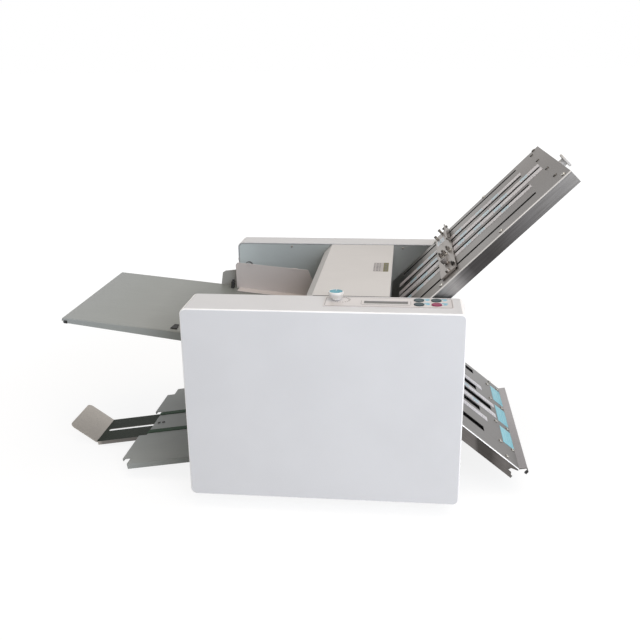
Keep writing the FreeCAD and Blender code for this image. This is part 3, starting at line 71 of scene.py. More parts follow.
# %% [markdown]
# ## Millimetres on the machine
# A fitter measures from the machine, not from the bench. Pieces could be placed by typing frame
# coordinates, but those would have to be worked out anew for every slope. So the front housing
# gives the starting point: its middle in length, its lower edge in height, and the centre line a
# fixed depth behind its face. Four sloping parts get axes of their own, so that a nut can be placed
# by its distance along a plate, across it, and out of its face.

# %% Machine axes
MM = 0.001
FACE_TO_CENTRE = 232.0
UPPER_FOOT, UPPER_SLOPE = (92.0, 231.0), 45.2
LOWER_FOOT, LOWER_SLOPE = (102.0, 177.6), -38.7
TABLE_FOOT, TABLE_SLOPE = (0.0, 200.8), -5.77
TRAY_FOOT, TRAY_SLOPE = (0.0, 55.6), 9.4

housing_low, housing_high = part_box("front_cover")
machine = Vector(((housing_low.x + housing_high.x) / 2, housing_low.y + FACE_TO_CENTRE * MM, housing_low.z))


def axes(x=0.0, z=0.0, slope=0.0):
    """Matrix from a part's own millimetres (along its slope, to the rear, out of its face) to the frame."""
    return (Matrix.Translation(machine) @ Matrix.Scale(MM, 4) @ Matrix.Translation((x, 0, z))
            @ Matrix.Rotation(math.radians(-slope), 4, "Y"))


body_axes = axes()
upper_plate = axes(*UPPER_FOOT, UPPER_SLOPE)
lower_plate = axes(*LOWER_FOOT, LOWER_SLOPE)
feed_table = axes(*TABLE_FOOT, TABLE_SLOPE)
tray = axes(*TRAY_FOOT, TRAY_SLOPE)
print("machine point:", [round(v, 4) for v in machine])

# %% [markdown]
# ## Colours and nodes
# Colours are easiest to compare as the hex values of a paint chart, but light adds up in linear
# values, so one function turns the first into the second. One more function adds a shader node with
# its settings and links. Every material below is a plain list of such nodes, so each can be read on
# its own.

# %% Hex to linear, and one node
def linear(code):
    """Paint-chart hex to the linear colour that shaders use."""
    parts = [int(code[i:i + 2], 16) / 255 for i in (1, 3, 5)]
    return [p / 12.92 if p <= 0.04045 else ((p + 0.055) / 1.055) ** 2.4 for p in parts] + [1.0]


def add(tree, kind, inputs=None, stops=None, **settings):
    """Add a node; an input is a value or the socket that feeds it, a stop is (place, hex) on a ramp."""
    node = tree.nodes.new(kind)
    for name, value in settings.items():
        setattr(node, name, value)
    for name, value in (inputs or {}).items():
        if isinstance(value, bpy.types.NodeSocket):
            tree.links.new(value, node.inputs[name])
        else:
            node.inputs[name].default_value = value
    if stops:
        band = node.color_ramp.elements
        band.remove(band[1])
        band[0].position, band[0].color = stops[0][0], linear(stops[0][1])
        for place, code in stops[1:]:
            band.new(place).color = linear(code)
    return node


print("chart white in linear light:", linear("#ffffff")[0], "mid grey:", round(linear("#808080")[0], 3))

# %% [markdown]
# ## Patterns that stick to their part
# A pattern must stay with its part when the part moves, and brushed grain must run along its sheet.
# An unwrapped UV map would do that, but sixty parts would have to be unwrapped by hand. So each
# material starts by turning object coordinates into the millimetres of the axes above. The Mapping
# node does this as a texture mapping, which undoes a place, a turn and a size.

# %% Start a material
def begin(name, swatch, place):
    """Empty material; returns it, its node tree, and the socket with the millimetres of its part."""
    material = bpy.data.materials.new(name)
    material.use_nodes = True
    material.diffuse_color = linear(swatch)
    tree = material.node_tree
    tree.nodes.clear()
    shift, turn, size = place.decompose()
    where = add(tree, "ShaderNodeTexCoord")
    own = add(tree, "ShaderNodeMapping",
              {"Vector": where.outputs["Object"], "Location": shift, "Rotation": turn.to_euler(),
               "Scale": size}, vector_type="TEXTURE")
    return material, tree, own.outputs["Vector"]


print("one millimetre of a part is", upper_plate.decompose()[2][0], "of the frame's units")

# %% [markdown]
# ## Powder coat
# The housings are folded steel, sprayed with white powder and baked. The melted grains leave a
# fine orange peel that breaks up reflections. Real peel is about 1 mm from crest to crest; it is
# drawn at 1.8 mm, so that it still shows at arm's length. The grains could be displaced in the mesh,
# but that takes millions of faces, and a bump gives the same broken shine. A slow mottle keeps the
# large faces from looking printed. Rounded edges get a slightly whiter coat with a shallower peel:
# a painted highlight, for the light that a rounded edge catches.

# %% White and cream powder coat
PEEL, MOTTLE = 1.8, 90.0
PEEL_DEPTH, EDGE_PEEL_DEPTH, COAT_ROUND = 0.08, 0.04, 0.7


def two_tones(darker, lighter):
    """Ramp stops for a noise, most of whose values lie between these two places."""
    return [(0.35, darker), (0.65, lighter)]


def powder_coat(name, darker, lighter, peel_depth=PEEL_DEPTH):
    material, tree, own = begin(name, lighter, body_axes)
    peel = add(tree, "ShaderNodeTexNoise", {"Vector": own, "Scale": 1 / PEEL, "Detail": 2.0})
    mottle = add(tree, "ShaderNodeTexNoise", {"Vector": own, "Scale": 1 / MOTTLE, "Detail": 3.0})
    tone = add(tree, "ShaderNodeValToRGB", {"Fac": mottle.outputs[0]}, stops=two_tones(darker, lighter))
    matt = add(tree, "ShaderNodeMapRange", {"Value": peel.outputs[0], "To Min": 0.4, "To Max": 0.56})
    rounded = add(tree, "ShaderNodeBevel", {"Radius": COAT_ROUND * MM}, samples=4)
    relief = add(tree, "ShaderNodeBump", {"Height": peel.outputs[0], "Distance": peel_depth * MM,
                                          "Normal": rounded.outputs[0]})
    coat = add(tree, "ShaderNodeBsdfPrincipled",
               {"Base Color": tone.outputs[0], "IOR": 1.5, "Roughness": matt.outputs[0],
                "Normal": relief.outputs[0]})
    add(tree, "ShaderNodeOutputMaterial", {"Surface": coat.outputs[0]})
    return material


white_coat = powder_coat("white_powder_coat", "#cfd0d2", "#d2d3d5")
# Whiter coat for rounded edges: a painted highlight.
white_edge_highlight = powder_coat("white_powder_coat_painted_highlight", "#eeeeee", "#f6f6f6", EDGE_PEEL_DEPTH)
cream_coat = powder_coat("cream_powder_coat", "#c6c4c2", "#cac8c6")
print("powder coats:", white_coat.name, white_edge_highlight.name, cream_coat.name)

# %% [markdown]
# ## Satin enamel
# Frames, feed table and delivery tray wear a thin grey-green enamel, sprayed wet and baked. It is
# smoother than powder coat and follows the rolled sheet below, so its relief is a faint streak
# along the sheet. Its tone is made darker where the machine shades it: painted shade. A picture
# could hold that shade, but a ramp needs no picture and keeps real distances: the tones are given
# at millimetres along the part, and a slow noise moves them about, so that no tone ends in a
# straight line.

# %% Grey enamel
STREAK, STREAK_PULL, STREAK_DEPTH = 4.0, (0.06, 1.0, 1.0), 0.03
SHADE_DRIFT, SHADE_DRIFT_SHIFT = 70.0, 50.0
ENAMEL_ROUND = 0.6


def tones_along(tree, own, noise, shift, tones, lean=0.0):
    """Colour by place along the part: tones are (millimetres, hex), the noise moves them by up to
    half the shift, and lean tilts them by the distance out of the face."""
    first, last = tones[0][0], tones[-1][0]
    apart = add(tree, "ShaderNodeSeparateXYZ", {"Vector": own})
    leaning = add(tree, "ShaderNodeMath", {0: apart.outputs["Z"], 1: lean, 2: apart.outputs["X"]},
                  operation="MULTIPLY_ADD")
    centred = add(tree, "ShaderNodeMath", {0: noise, 1: 0.5}, operation="SUBTRACT")
    moved = add(tree, "ShaderNodeMath", {0: centred.outputs[0], 1: shift, 2: leaning.outputs[0]},
                operation="MULTIPLY_ADD")
    reach = add(tree, "ShaderNodeMapRange",
                {"Value": moved.outputs[0], "From Min": first, "From Max": last})
    ramp = add(tree, "ShaderNodeValToRGB", {"Fac": reach.outputs[0]},
               stops=[((at - first) / (last - first), code) for at, code in tones])
    return ramp.outputs[0]


def satin_enamel(name, place, tones, gloss=0.42):
    material, tree, own = begin(name, tones[0][1], place)
    pulled = add(tree, "ShaderNodeVectorMath", {0: own, 1: STREAK_PULL}, operation="MULTIPLY")
    streak = add(tree, "ShaderNodeTexNoise",
                 {"Vector": pulled.outputs[0], "Scale": 1 / STREAK, "Detail": 3.0})
    shade_drift = add(tree, "ShaderNodeTexNoise", {"Vector": own, "Scale": 1 / SHADE_DRIFT, "Detail": 4.0})
    tone = tones_along(tree, own, shade_drift.outputs[0], SHADE_DRIFT_SHIFT, tones)
    matt = add(tree, "ShaderNodeMapRange", {"Value": streak.outputs[0], "To Min": gloss - 0.06,
                                            "To Max": gloss + 0.08})
    rounded = add(tree, "ShaderNodeBevel", {"Radius": ENAMEL_ROUND * MM}, samples=4)
    relief = add(tree, "ShaderNodeBump", {"Height": streak.outputs[0], "Distance": STREAK_DEPTH * MM,
                                          "Normal": rounded.outputs[0]})
    enamel = add(tree, "ShaderNodeBsdfPrincipled",
                 {"Base Color": tone, "IOR": 1.5, "Roughness": matt.outputs[0],
                  "Normal": relief.outputs[0]})
    add(tree, "ShaderNodeOutputMaterial", {"Surface": enamel.outputs[0]})
    return material


# Painted shade: the frames darken towards the fold plates, the table and the tray towards the housing.
frame_enamel = satin_enamel("grey_frame_enamel", body_axes,
                            [(-195, "#c0c9c9"), (-150, "#b1b9b9"), (-110, "#a8afaf"), (-50, "#a1a7a6"),
                             (100, "#969a99"), (125, "#868a89"), (190, "#707473")], 0.5)
table_enamel = satin_enamel("grey_table_enamel", feed_table,
                            [(-416, "#949897"), (-350, "#909491"), (-300, "#8e918e"), (-245, "#7e817d"),
                             (-190, "#747773"), (22, "#747773")])
# A lighter copy of the enamel for the cheek of the table: painted light.
cheek_lit_enamel = satin_enamel("grey_cheek_painted_light", feed_table, [(-260, "#a3a29f"), (-190, "#9c9c98")])
tray_enamel = satin_enamel("grey_tray_enamel", tray,
                           [(-345, "#999c99"), (-300, "#888b87"), (-250, "#767974"), (-200, "#6c6f6c"),
                            (0, "#6b6e6b")])
print("enamels:", frame_enamel.name, table_enamel.name, cheek_lit_enamel.name, tray_enamel.name)

# %% [markdown]
# ## Lacquered guide sheet
# The side guides are steel sheet with a thin warm grey lacquer, rolled on before the sheet was
# cut. Their light tone is partly a painted reflection of white paper that the steel would mirror,
# and they run a little darker towards the inner end, which is painted shade. A rolled lacquer looks
# like a matt enamel, so the enamel's recipe serves with warmer tones.

# %% Guide lacquer
# Light tone partly painted reflection; slightly darker towards the inner end, painted shade.
guide_lacquer = satin_enamel("warm_grey_lacquer", feed_table,
                             [(-208, "#c7c1be"), (-150, "#bfb9b6"), (-100, "#bbb4b1"),
                              (-50, "#b8b1ae")], 0.55)
print("guide lacquer:", guide_lacquer.name)

# %% [markdown]
# ## Brushed stainless steel
# The fold plates, chute and catch arm are stainless sheet with the mill's brushed grain along their
# length. A real scratch is a few hundredths of a millimetre wide; the streaks are drawn 1.2 mm
# wide, which is what still shows. A noise that is pulled out along the sheet gives such streaks
# and never repeats, while a tiled picture of scratches would. The sheet is slightly wavy and
# handled, so its tone drifts from place to place, which the same ramp along the part gives. On the
# catch arm that ramp carries painted light and shade: a light flap, and flanges that darken towards
# the housing.

# %% Stainless sheet
GRAIN, GRAIN_PULL, GRAIN_DEPTH = 1.2, (0.02, 1.0, 1.0), 0.02
WAVE_LENGTH, WAVE_SHIFT = 45.0, 14.0
SHEET_ROUND = 0.5


def stainless_sheet(name, place, tones, lean=0.0, matt_level=0.38):
    material, tree, own = begin(name, tones[0][1], place)
    pulled = add(tree, "ShaderNodeVectorMath", {0: own, 1: GRAIN_PULL}, operation="MULTIPLY")
    grain = add(tree, "ShaderNodeTexNoise",
                {"Vector": pulled.outputs[0], "Scale": 1 / GRAIN, "Detail": 4.0})
    wave = add(tree, "ShaderNodeTexNoise", {"Vector": own, "Scale": 1 / WAVE_LENGTH, "Detail": 2.0})
    tone = tones_along(tree, own, wave.outputs[0], WAVE_SHIFT, tones, lean)
    scratch = add(tree, "ShaderNodeValToRGB", {"Fac": grain.outputs[0]},
                  stops=[(0.3, "#dcdcdc"), (0.48, "#f4f4f4"), (0.65, "#ffffff")])
    steel = add(tree, "ShaderNodeMix", {0: 1.0, 6: tone, 7: scratch.outputs[0]}, data_type="RGBA",
                blend_type="MULTIPLY")
    matt = add(tree, "ShaderNodeMapRange", {"Value": grain.outputs[0], "To Min": matt_level - 0.1,
                                            "To Max": matt_level + 0.12})
    rounded = add(tree, "ShaderNodeBevel", {"Radius": SHEET_ROUND * MM}, samples=4)
    relief = add(tree, "ShaderNodeBump", {"Height": grain.outputs[0], "Distance": GRAIN_DEPTH * MM,
                                          "Normal": rounded.outputs[0]})
    sheet = add(tree, "ShaderNodeBsdfPrincipled", {"Base Color": steel.outputs[2], "Metallic": 1.0,
                                                   "Roughness": matt.outputs[0], "Anisotropic": 0.5,
                                                   "Normal": relief.outputs[0]})
    add(tree, "ShaderNodeOutputMaterial", {"Surface": sheet.outputs[0]})
    return material


upper_steel = stainless_sheet("stainless_upper_plate", upper_plate,
                              [(0, "#74706b"), (120, "#827d78"), (250, "#787370"), (345, "#7d7874")])
lower_steel = stainless_sheet("stainless_lower_plate", lower_plate,
                              [(60, "#7d7b7a"), (170, "#8a8887"), (262, "#817f7e")])
# Catch arm: the light flap is a painted highlight, the darker flanges towards the housing painted shade.
arm_steel = stainless_sheet("stainless_arm", tray,
                            [(-480, "#bcb6af"), (-427, "#b8b2ab"), (-418, "#7f7b77"), (-340, "#666360"),
                             (-210, "#5a5755")], 0.0, 0.46)
chute_steel = stainless_sheet("stainless_chute", body_axes, [(-60, "#8c8c8c"), (90, "#989898")])
print("stainless sheets:", upper_steel.name, lower_steel.name, arm_steel.name, chute_steel.name)

# %% [markdown]
# ## Plate walls and bends
# The folded walls of the fold plates face the room sideways. They mirror the dark floor of a room
# and the hands that steady them, so they run from bright to almost black and back along the plate.
# Real surroundings could be built for them to mirror, but then each picture would need the same
# room; so their tones are painted reflection, which looks right in any. The bend between a sheet's
# face and its near wall gets a light tone of its own, a painted highlight: that narrow band shines
# like a line.

# %% Walls and painted bend highlights
upper_wall_steel = stainless_sheet(
    "stainless_upper_wall", upper_plate,
    [(88, "#8a8a8a"), (106, "#a4a3a2"), (122, "#a8a6a5"), (142, "#6f6d6d"), (160, "#4c4a4a"),
     (190, "#494747"), (205, "#504e4d"), (230, "#605e5e"), (262, "#706e6e"), (292, "#7d7b7a"),
     (322, "#868483"), (345, "#8f8d8b")])
lower_wall_steel = stainless_sheet(
    "stainless_lower_wall", lower_plate,
    [(120, "#7c7876"), (148, "#787472"), (160, "#75716f"), (168, "#524f4d"), (192, "#504d4b"),
     (203, "#676361"), (220, "#75716f"), (248, "#63605e")], 0.8)
# The light bend tones are a painted highlight.
upper_bend_highlight = stainless_sheet("stainless_upper_painted_highlight", upper_plate,
                             [(0, "#d6d2ce"), (345, "#dedad6")], 0.0, 0.3)
lower_bend_highlight = stainless_sheet("stainless_lower_painted_highlight", lower_plate,
                             [(0, "#dedcdb"), (248, "#e6e4e3")], 0.0, 0.3)
# The lip gets a lighter tone than the plate: painted reflection for the bright room its tilted face
# mirrors.
lip_reflection_steel = stainless_sheet("stainless_lip_painted_reflection", lower_plate, [(240, "#aca8a8"), (265, "#afabab")])
print("walls, bends and lip:", upper_wall_steel.name, lower_wall_steel.name, upper_bend_highlight.name,
      lower_bend_highlight.name, lip_reflection_steel.name)

# %% [markdown]
# ## Turned shafts
# Shafts are turned steel bar. The tool leaves fine rings round them, drawn as bands 0.9 mm apart
# along the shaft; a real feed of 0.1 mm would be too fine to show. The grooves could be cut into
# the mesh, but a wave across the shaft does it in one node and costs no faces.

# %% Turned steel
WAVE_UNIT = math.pi / 10          # the wave texture repeats every pi / 10 units at scale 1
TOOL_MARK, TOOL_DEPTH, SHAFT_ROUND = 0.9, 0.02, 0.4


def turned_steel():
    material, tree, own = begin("turned_shaft_steel", "#a4a4a4", body_axes)
    rings = add(tree, "ShaderNodeTexWave", {"Vector": own, "Scale": WAVE_UNIT / TOOL_MARK,
                                            "Distortion": 0.6, "Detail": 1.0}, bands_direction="Y")
    tone = add(tree, "ShaderNodeValToRGB", {"Fac": rings.outputs[1]},
               stops=[(0.0, "#8b8b8b"), (1.0, "#a8a8a8")])
    rounded = add(tree, "ShaderNodeBevel", {"Radius": SHAFT_ROUND * MM}, samples=4)
    relief = add(tree, "ShaderNodeBump", {"Height": rings.outputs[1], "Distance": TOOL_DEPTH * MM,
                                          "Normal": rounded.outputs[0]})
    bar = add(tree, "ShaderNodeBsdfPrincipled", {"Base Color": tone.outputs[0], "Metallic": 1.0,
                                                 "Roughness": 0.3, "Normal": relief.outputs[0]})
    add(tree, "ShaderNodeOutputMaterial", {"Surface": bar.outputs[0]})
    return material


shaft_steel = turned_steel()
print("shafts:", shaft_steel.name)

# %% [markdown]
# ## Plated steel
# Screws and nuts are barrel plated with zinc, which is bright, a little yellow and lightly pitted.
# The stop carriages are nickel plated, which is smoother and warmer. A few bolts have a black
# oxide skin. Each could have a recipe of its own, but all three are one kind of surface with other
# tones, so one function makes them.

# %% Zinc, nickel and black oxide
PIT, PIT_DEPTH, PLATED_ROUND = 1.5, 0.03, 0.35


def plated_steel(name, darker, lighter, matt_level):
    material, tree, own = begin(name, lighter, body_axes)
    pits = add(tree, "ShaderNodeTexNoise", {"Vector": own, "Scale": 1 / PIT, "Detail": 3.0})
    tone = add(tree, "ShaderNodeValToRGB", {"Fac": pits.outputs[0]}, stops=two_tones(darker, lighter))
    matt = add(tree, "ShaderNodeMapRange", {"Value": pits.outputs[0], "To Min": matt_level - 0.08,
                                            "To Max": matt_level + 0.1})
    rounded = add(tree, "ShaderNodeBevel", {"Radius": PLATED_ROUND * MM}, samples=4)
    relief = add(tree, "ShaderNodeBump", {"Height": pits.outputs[0], "Distance": PIT_DEPTH * MM,
                                          "Normal": rounded.outputs[0]})
    plating = add(tree, "ShaderNodeBsdfPrincipled",
                  {"Base Color": tone.outputs[0], "Metallic": 1.0, "Roughness": matt.outputs[0],
                   "Normal": relief.outputs[0]})
    add(tree, "ShaderNodeOutputMaterial", {"Surface": plating.outputs[0]})
    return material


zinc_plate = plated_steel("zinc_plated_screw", "#a3a099", "#c8c6be", 0.28)
nickel_plate = plated_steel("nickel_plated_bar", "#857f7a", "#9e9892", 0.36)
nickel_dark = plated_steel("nickel_plated_nut", "#4a4744", "#75706b", 0.3)
# Black oxide bolts, and also the painted shadow rings round screw heads.
black_oxide_and_shadow = plated_steel("dark_bolt_and_shadow_ring", "#2b2a29", "#454341", 0.4)
print("plated metals:", zinc_plate.name, nickel_plate.name, nickel_dark.name, black_oxide_and_shadow.name)

# %% [markdown]
# ## Sintered bronze
# The roller bushes are pressed from bronze powder and soaked with oil. Pores a few tenths of a
# millimetre wide make the brown-gold surface look dry; they are drawn at 0.8 mm. Noise would give
# clouds, so Voronoi cells are used, which have the round dark middles of pores.

# %% Sintered bronze
PORE, PORE_DEPTH = 0.8, 0.05


def sintered_bronze():
    material, tree, own = begin("sintered_bronze", "#a5814f", body_axes)
    pores = add(tree, "ShaderNodeTexVoronoi", {"Vector": own, "Scale": 1 / PORE})
    tone = add(tree, "ShaderNodeValToRGB", {"Fac": pores.outputs[0]},
               stops=[(0.0, "#7c5f38"), (0.6, "#b08c5a")])
    relief = add(tree, "ShaderNodeBump", {"Height": pores.outputs[0], "Distance": PORE_DEPTH * MM})
    bush = add(tree, "ShaderNodeBsdfPrincipled", {"Base Color": tone.outputs[0], "Metallic": 1.0,
                                                  "Roughness": 0.46, "Normal": relief.outputs[0]})
    add(tree, "ShaderNodeOutputMaterial", {"Surface": bush.outputs[0]})
    return material


bronze = sintered_bronze()
print("bushes:", bronze.name)

# %% [markdown]
# ## Rubber
# Feet, roller sleeves and feed tyres are moulded black rubber. Rubber is never quite black: dust
# and talc lift it to a dark grey. Sleeves are ground after moulding, which leaves a matt skin. A
# flat dark grey would look like paint, so a fine noise roughens the skin and a slow one lays the
# talc on it.

# %% Moulded and ground rubber
SKIN, TALC = 1.0, 25.0
SKIN_DEPTH, RUBBER_ROUND = 0.06, 0.5


def moulded_rubber(name, darker, lighter):
    material, tree, own = begin(name, lighter, body_axes)
    skin = add(tree, "ShaderNodeTexNoise", {"Vector": own, "Scale": 1 / SKIN, "Detail": 4.0})
    talc = add(tree, "ShaderNodeTexNoise", {"Vector": own, "Scale": 1 / TALC, "Detail": 4.0})
    tone = add(tree, "ShaderNodeValToRGB", {"Fac": talc.outputs[0]}, stops=two_tones(darker, lighter))
    matt = add(tree, "ShaderNodeMapRange", {"Value": skin.outputs[0], "To Min": 0.65, "To Max": 0.85})
    rounded = add(tree, "ShaderNodeBevel", {"Radius": RUBBER_ROUND * MM}, samples=4)
    relief = add(tree, "ShaderNodeBump", {"Height": skin.outputs[0], "Distance": SKIN_DEPTH * MM,
                                          "Normal": rounded.outputs[0]})
    rubber = add(tree, "ShaderNodeBsdfPrincipled",
                 {"Base Color": tone.outputs[0], "IOR": 1.52, "Roughness": matt.outputs[0],
                  "Normal": relief.outputs[0]})
    add(tree, "ShaderNodeOutputMaterial", {"Surface": rubber.outputs[0]})
    return material


black_rubber = moulded_rubber("black_rubber", "#161616", "#262626")
roller_rubber = moulded_rubber("ground_roller_rubber", "#1e1e20", "#33333a")
print("rubbers:", black_rubber.name, roller_rubber.name)

# %% [markdown]
# ## Woven belts and the grip sheet
# The delivery belts are dark green, and the woven cloth inside prints through as a small weave. The
# deck of the catch arm is covered with a grip sheet of the same kind. Yarns lie 0.5 mm apart; they
# are drawn at 1.5 mm. Modelled yarns would be thousands of pieces, so two crossed waves multiplied
# make the weave.

# %% Woven belt
YARN, WEAVE_DEPTH = 1.5, 0.12


def woven_belt(name, darker, lighter):
    material, tree, own = begin(name, lighter, tray)
    warp = add(tree, "ShaderNodeTexWave", {"Vector": own, "Scale": WAVE_UNIT / YARN}, bands_direction="X")
    weft = add(tree, "ShaderNodeTexWave", {"Vector": own, "Scale": WAVE_UNIT / YARN}, bands_direction="Y")
    weave = add(tree, "ShaderNodeMath", {0: warp.outputs[1], 1: weft.outputs[1]}, operation="MULTIPLY")
    tone = add(tree, "ShaderNodeValToRGB", {"Fac": weave.outputs[0]}, stops=[(0.0, darker), (0.8, lighter)])
    relief = add(tree, "ShaderNodeBump", {"Height": weave.outputs[0], "Distance": WEAVE_DEPTH * MM})
    cloth = add(tree, "ShaderNodeBsdfPrincipled", {"Base Color": tone.outputs[0], "IOR": 1.5,
                                                   "Specular IOR Level": 0.25, "Roughness": 0.66,
                                                   "Normal": relief.outputs[0]})
    add(tree, "ShaderNodeOutputMaterial", {"Surface": cloth.outputs[0]})
    return material


green_belt = woven_belt("green_woven_belt", "#26412b", "#3c5540")
green_deck = woven_belt("green_grip_sheet", "#1b2319", "#272f23")
print("belts:", green_belt.name, green_deck.name)

# %% [markdown]
# ## Toothed drive belt
# The drive belts are moulded black rubber with teeth across them every 3 mm. Teeth in the mesh
# would have to follow each bend of the loop. A wave in the material has no bends to follow: it runs
# diagonally, because the belt goes round its pulleys in every direction of one plane.

# %% Toothed belt
TOOTH, TOOTH_DEPTH = 3.0, 0.4


def toothed_belt():
    material, tree, own = begin("black_toothed_belt", "#1d1d1d", body_axes)
    teeth = add(tree, "ShaderNodeTexWave", {"Vector": own, "Scale": WAVE_UNIT / TOOTH},
                bands_direction="DIAGONAL")
    tone = add(tree, "ShaderNodeValToRGB", {"Fac": teeth.outputs[1]},
               stops=[(0.0, "#141414"), (1.0, "#2b2b2b")])
    relief = add(tree, "ShaderNodeBump", {"Height": teeth.outputs[1], "Distance": TOOTH_DEPTH * MM})
    belt = add(tree, "ShaderNodeBsdfPrincipled", {"Base Color": tone.outputs[0], "IOR": 1.52,
                                                  "Roughness": 0.6, "Normal": relief.outputs[0]})
    add(tree, "ShaderNodeOutputMaterial", {"Surface": belt.outputs[0]})
    return material


black_belt = toothed_belt()
print("drive belts:", black_belt.name)

# %% [markdown]
# ## Moulded plastics
# Knobs and keys are injection moulded ABS. The tool is spark eroded, so the skin has a fine even
# grain, about 0.3 mm on the real part and drawn at 1 mm. White ABS lets a little light in, which
# softens its shadow side, and gears are cut from acetal, which is waxier still. The keys and the
# cap of the speed knob are made matt, so that no lamp hides what they say. A glossy base with a
# rough coat would do that too; a low shine on one layer is simpler and bakes well.

# %% ABS and acetal
SPARK, FLOW = 1.0, 18.0
SPARK_DEPTH, MOULD_ROUND = 0.03, 0.5


def moulded_plastic(name, darker, lighter, matt_level, depth_of_light=0.0, shine=0.5):
    material, tree, own = begin(name, lighter, body_axes)
    spark = add(tree, "ShaderNodeTexNoise", {"Vector": own, "Scale": 1 / SPARK, "Detail": 2.0})
    flow = add(tree, "ShaderNodeTexNoise", {"Vector": own, "Scale": 1 / FLOW, "Detail": 2.0})
    tone = add(tree, "ShaderNodeValToRGB", {"Fac": flow.outputs[0]}, stops=two_tones(darker, lighter))
    matt = add(tree, "ShaderNodeMapRange", {"Value": spark.outputs[0], "To Min": matt_level - 0.06,
                                            "To Max": matt_level + 0.08})
    rounded = add(tree, "ShaderNodeBevel", {"Radius": MOULD_ROUND * MM}, samples=4)
    relief = add(tree, "ShaderNodeBump", {"Height": spark.outputs[0], "Distance": SPARK_DEPTH * MM,
                                          "Normal": rounded.outputs[0]})
    plastic = add(tree, "ShaderNodeBsdfPrincipled",
                  {"Base Color": tone.outputs[0], "IOR": 1.53, "Specular IOR Level": shine,
                   "Roughness": matt.outputs[0], "Subsurface Weight": depth_of_light,
                   "Subsurface Radius": (0.002, 0.002, 0.0015), "Normal": relief.outputs[0]})
    add(tree, "ShaderNodeOutputMaterial", {"Surface": plastic.outputs[0]})
    return material


white_abs = moulded_plastic("white_abs", "#dcdad6", "#e8e6e3", 0.32, 0.15)
cyan_abs = moulded_plastic("cyan_abs_cap", "#4e93a5", "#5fa2b2", 0.4, 0.0, 0.15)
slate_abs = moulded_plastic("slate_key_abs", "#2e3d42", "#38494e", 0.4, 0.0, 0.15)
# Lighter tones for the key domes: a painted highlight.
slate_dome_highlight = moulded_plastic("slate_key_dome_highlight", "#3f4e52", "#4a5a5e", 0.4, 0.0, 0.2)
red_abs = moulded_plastic("red_key_abs", "#83284c", "#913258", 0.4, 0.0, 0.2)
red_dome_highlight = moulded_plastic("red_key_dome_highlight", "#963c60", "#a2496b", 0.4, 0.0, 0.25)
black_abs = moulded_plastic("black_abs", "#1a1a1a", "#2a2a2a", 0.4)
grey_abs = moulded_plastic("grey_abs", "#8e9595", "#9aa1a1", 0.4)
# A greyer white for the end knob of the upper plate.
greyer_abs = moulded_plastic("greyer_white_abs", "#bcbab7", "#c8c6c3", 0.4)
clamp_grey = moulded_plastic("grey_clamp", "#76726f", "#827e7b", 0.5)
cream_acetal = moulded_plastic("cream_acetal", "#d9d6c8", "#e6e3d6", 0.4, 0.1)
print("finishes so far:", len(bpy.data.materials))

# %% [markdown]
# ## Printed films
# The control panel, the scales and the labels are printed polyester film. The film has a fine
# velvet grain against glare, 0.2 mm on the real film and drawn at 1.2 mm, and a hard clear skin
# over the ink. A picture of the print would blur from near by; plain films with the print laid on
# as thin solids stay sharp. That print is matt screen ink, with less shine than the film.

# %% Polyester film and inks
VELVET, FADE, VELVET_DEPTH = 1.2, 30.0, 0.02


def printed_film(name, darker, lighter, shine=0.5):
    material, tree, own = begin(name, lighter, body_axes)
    velvet = add(tree, "ShaderNodeTexNoise", {"Vector": own, "Scale": 1 / VELVET, "Detail": 2.0})
    fade = add(tree, "ShaderNodeTexNoise", {"Vector": own, "Scale": 1 / FADE, "Detail": 3.0})
    tone = add(tree, "ShaderNodeValToRGB", {"Fac": fade.outputs[0]}, stops=two_tones(darker, lighter))
    relief = add(tree, "ShaderNodeBump", {"Height": velvet.outputs[0], "Distance": VELVET_DEPTH * MM})
    film = add(tree, "ShaderNodeBsdfPrincipled",
               {"Base Color": tone.outputs[0], "IOR": 1.57, "Specular IOR Level": shine, "Roughness": 0.36,
                "Coat Weight": 0.3 * shine, "Coat Roughness": 0.3, "Normal": relief.outputs[0]})
    add(tree, "ShaderNodeOutputMaterial", {"Surface": film.outputs[0]})
    return material


panel_film = printed_film("panel_film", "#cac6c5", "#cecac9")
upper_scale_film = printed_film("upper_scale_film", "#b9b5b7", "#c8c4c6")
lower_scale_film = printed_film("lower_scale_film", "#cfcdd2", "#dad8dd")
cyan_film = printed_film("cyan_label_film", "#6cc0d2", "#7fcbdb")
pale_cyan_ink = printed_film("pale_cyan_ink", "#a0bcc8", "#aec8d2")
label_ink = printed_film("label_ink", "#84cbda", "#95d5e1")
key_cyan_ink = printed_film("key_cyan_ink", "#65adc6", "#79bacf", 0.15)
grey_ink = printed_film("grey_ink", "#7c7775", "#898482")
# Dark ink for print, and also for the painted shade in screw recesses and slots.
dark_ink_and_recess_shade = printed_film("dark_ink_and_recess_shade", "#454444", "#565554", 0.2)
white_film = printed_film("white_label_film", "#d6d2cb", "#dfdbd4")
sticker_film = printed_film("grey_sticker_film", "#9e9896", "#a9a3a1", 0.2)
olive_ink = printed_film("olive_ink", "#524c0e", "#5e5818", 0.1)
print("finishes so far:", len(bpy.data.materials))

# %% [markdown]
# ## Display window
# Behind the clear window lies a grey display that is switched off. A real glass solid over a dark
# box would need many light bounces for a strip this small. A coat over the grey gives the glass
# front its sharp reflection, while the faint rows of the display, 2.5 mm apart, show through.

# %% Display window
DISPLAY_ROW = 2.5


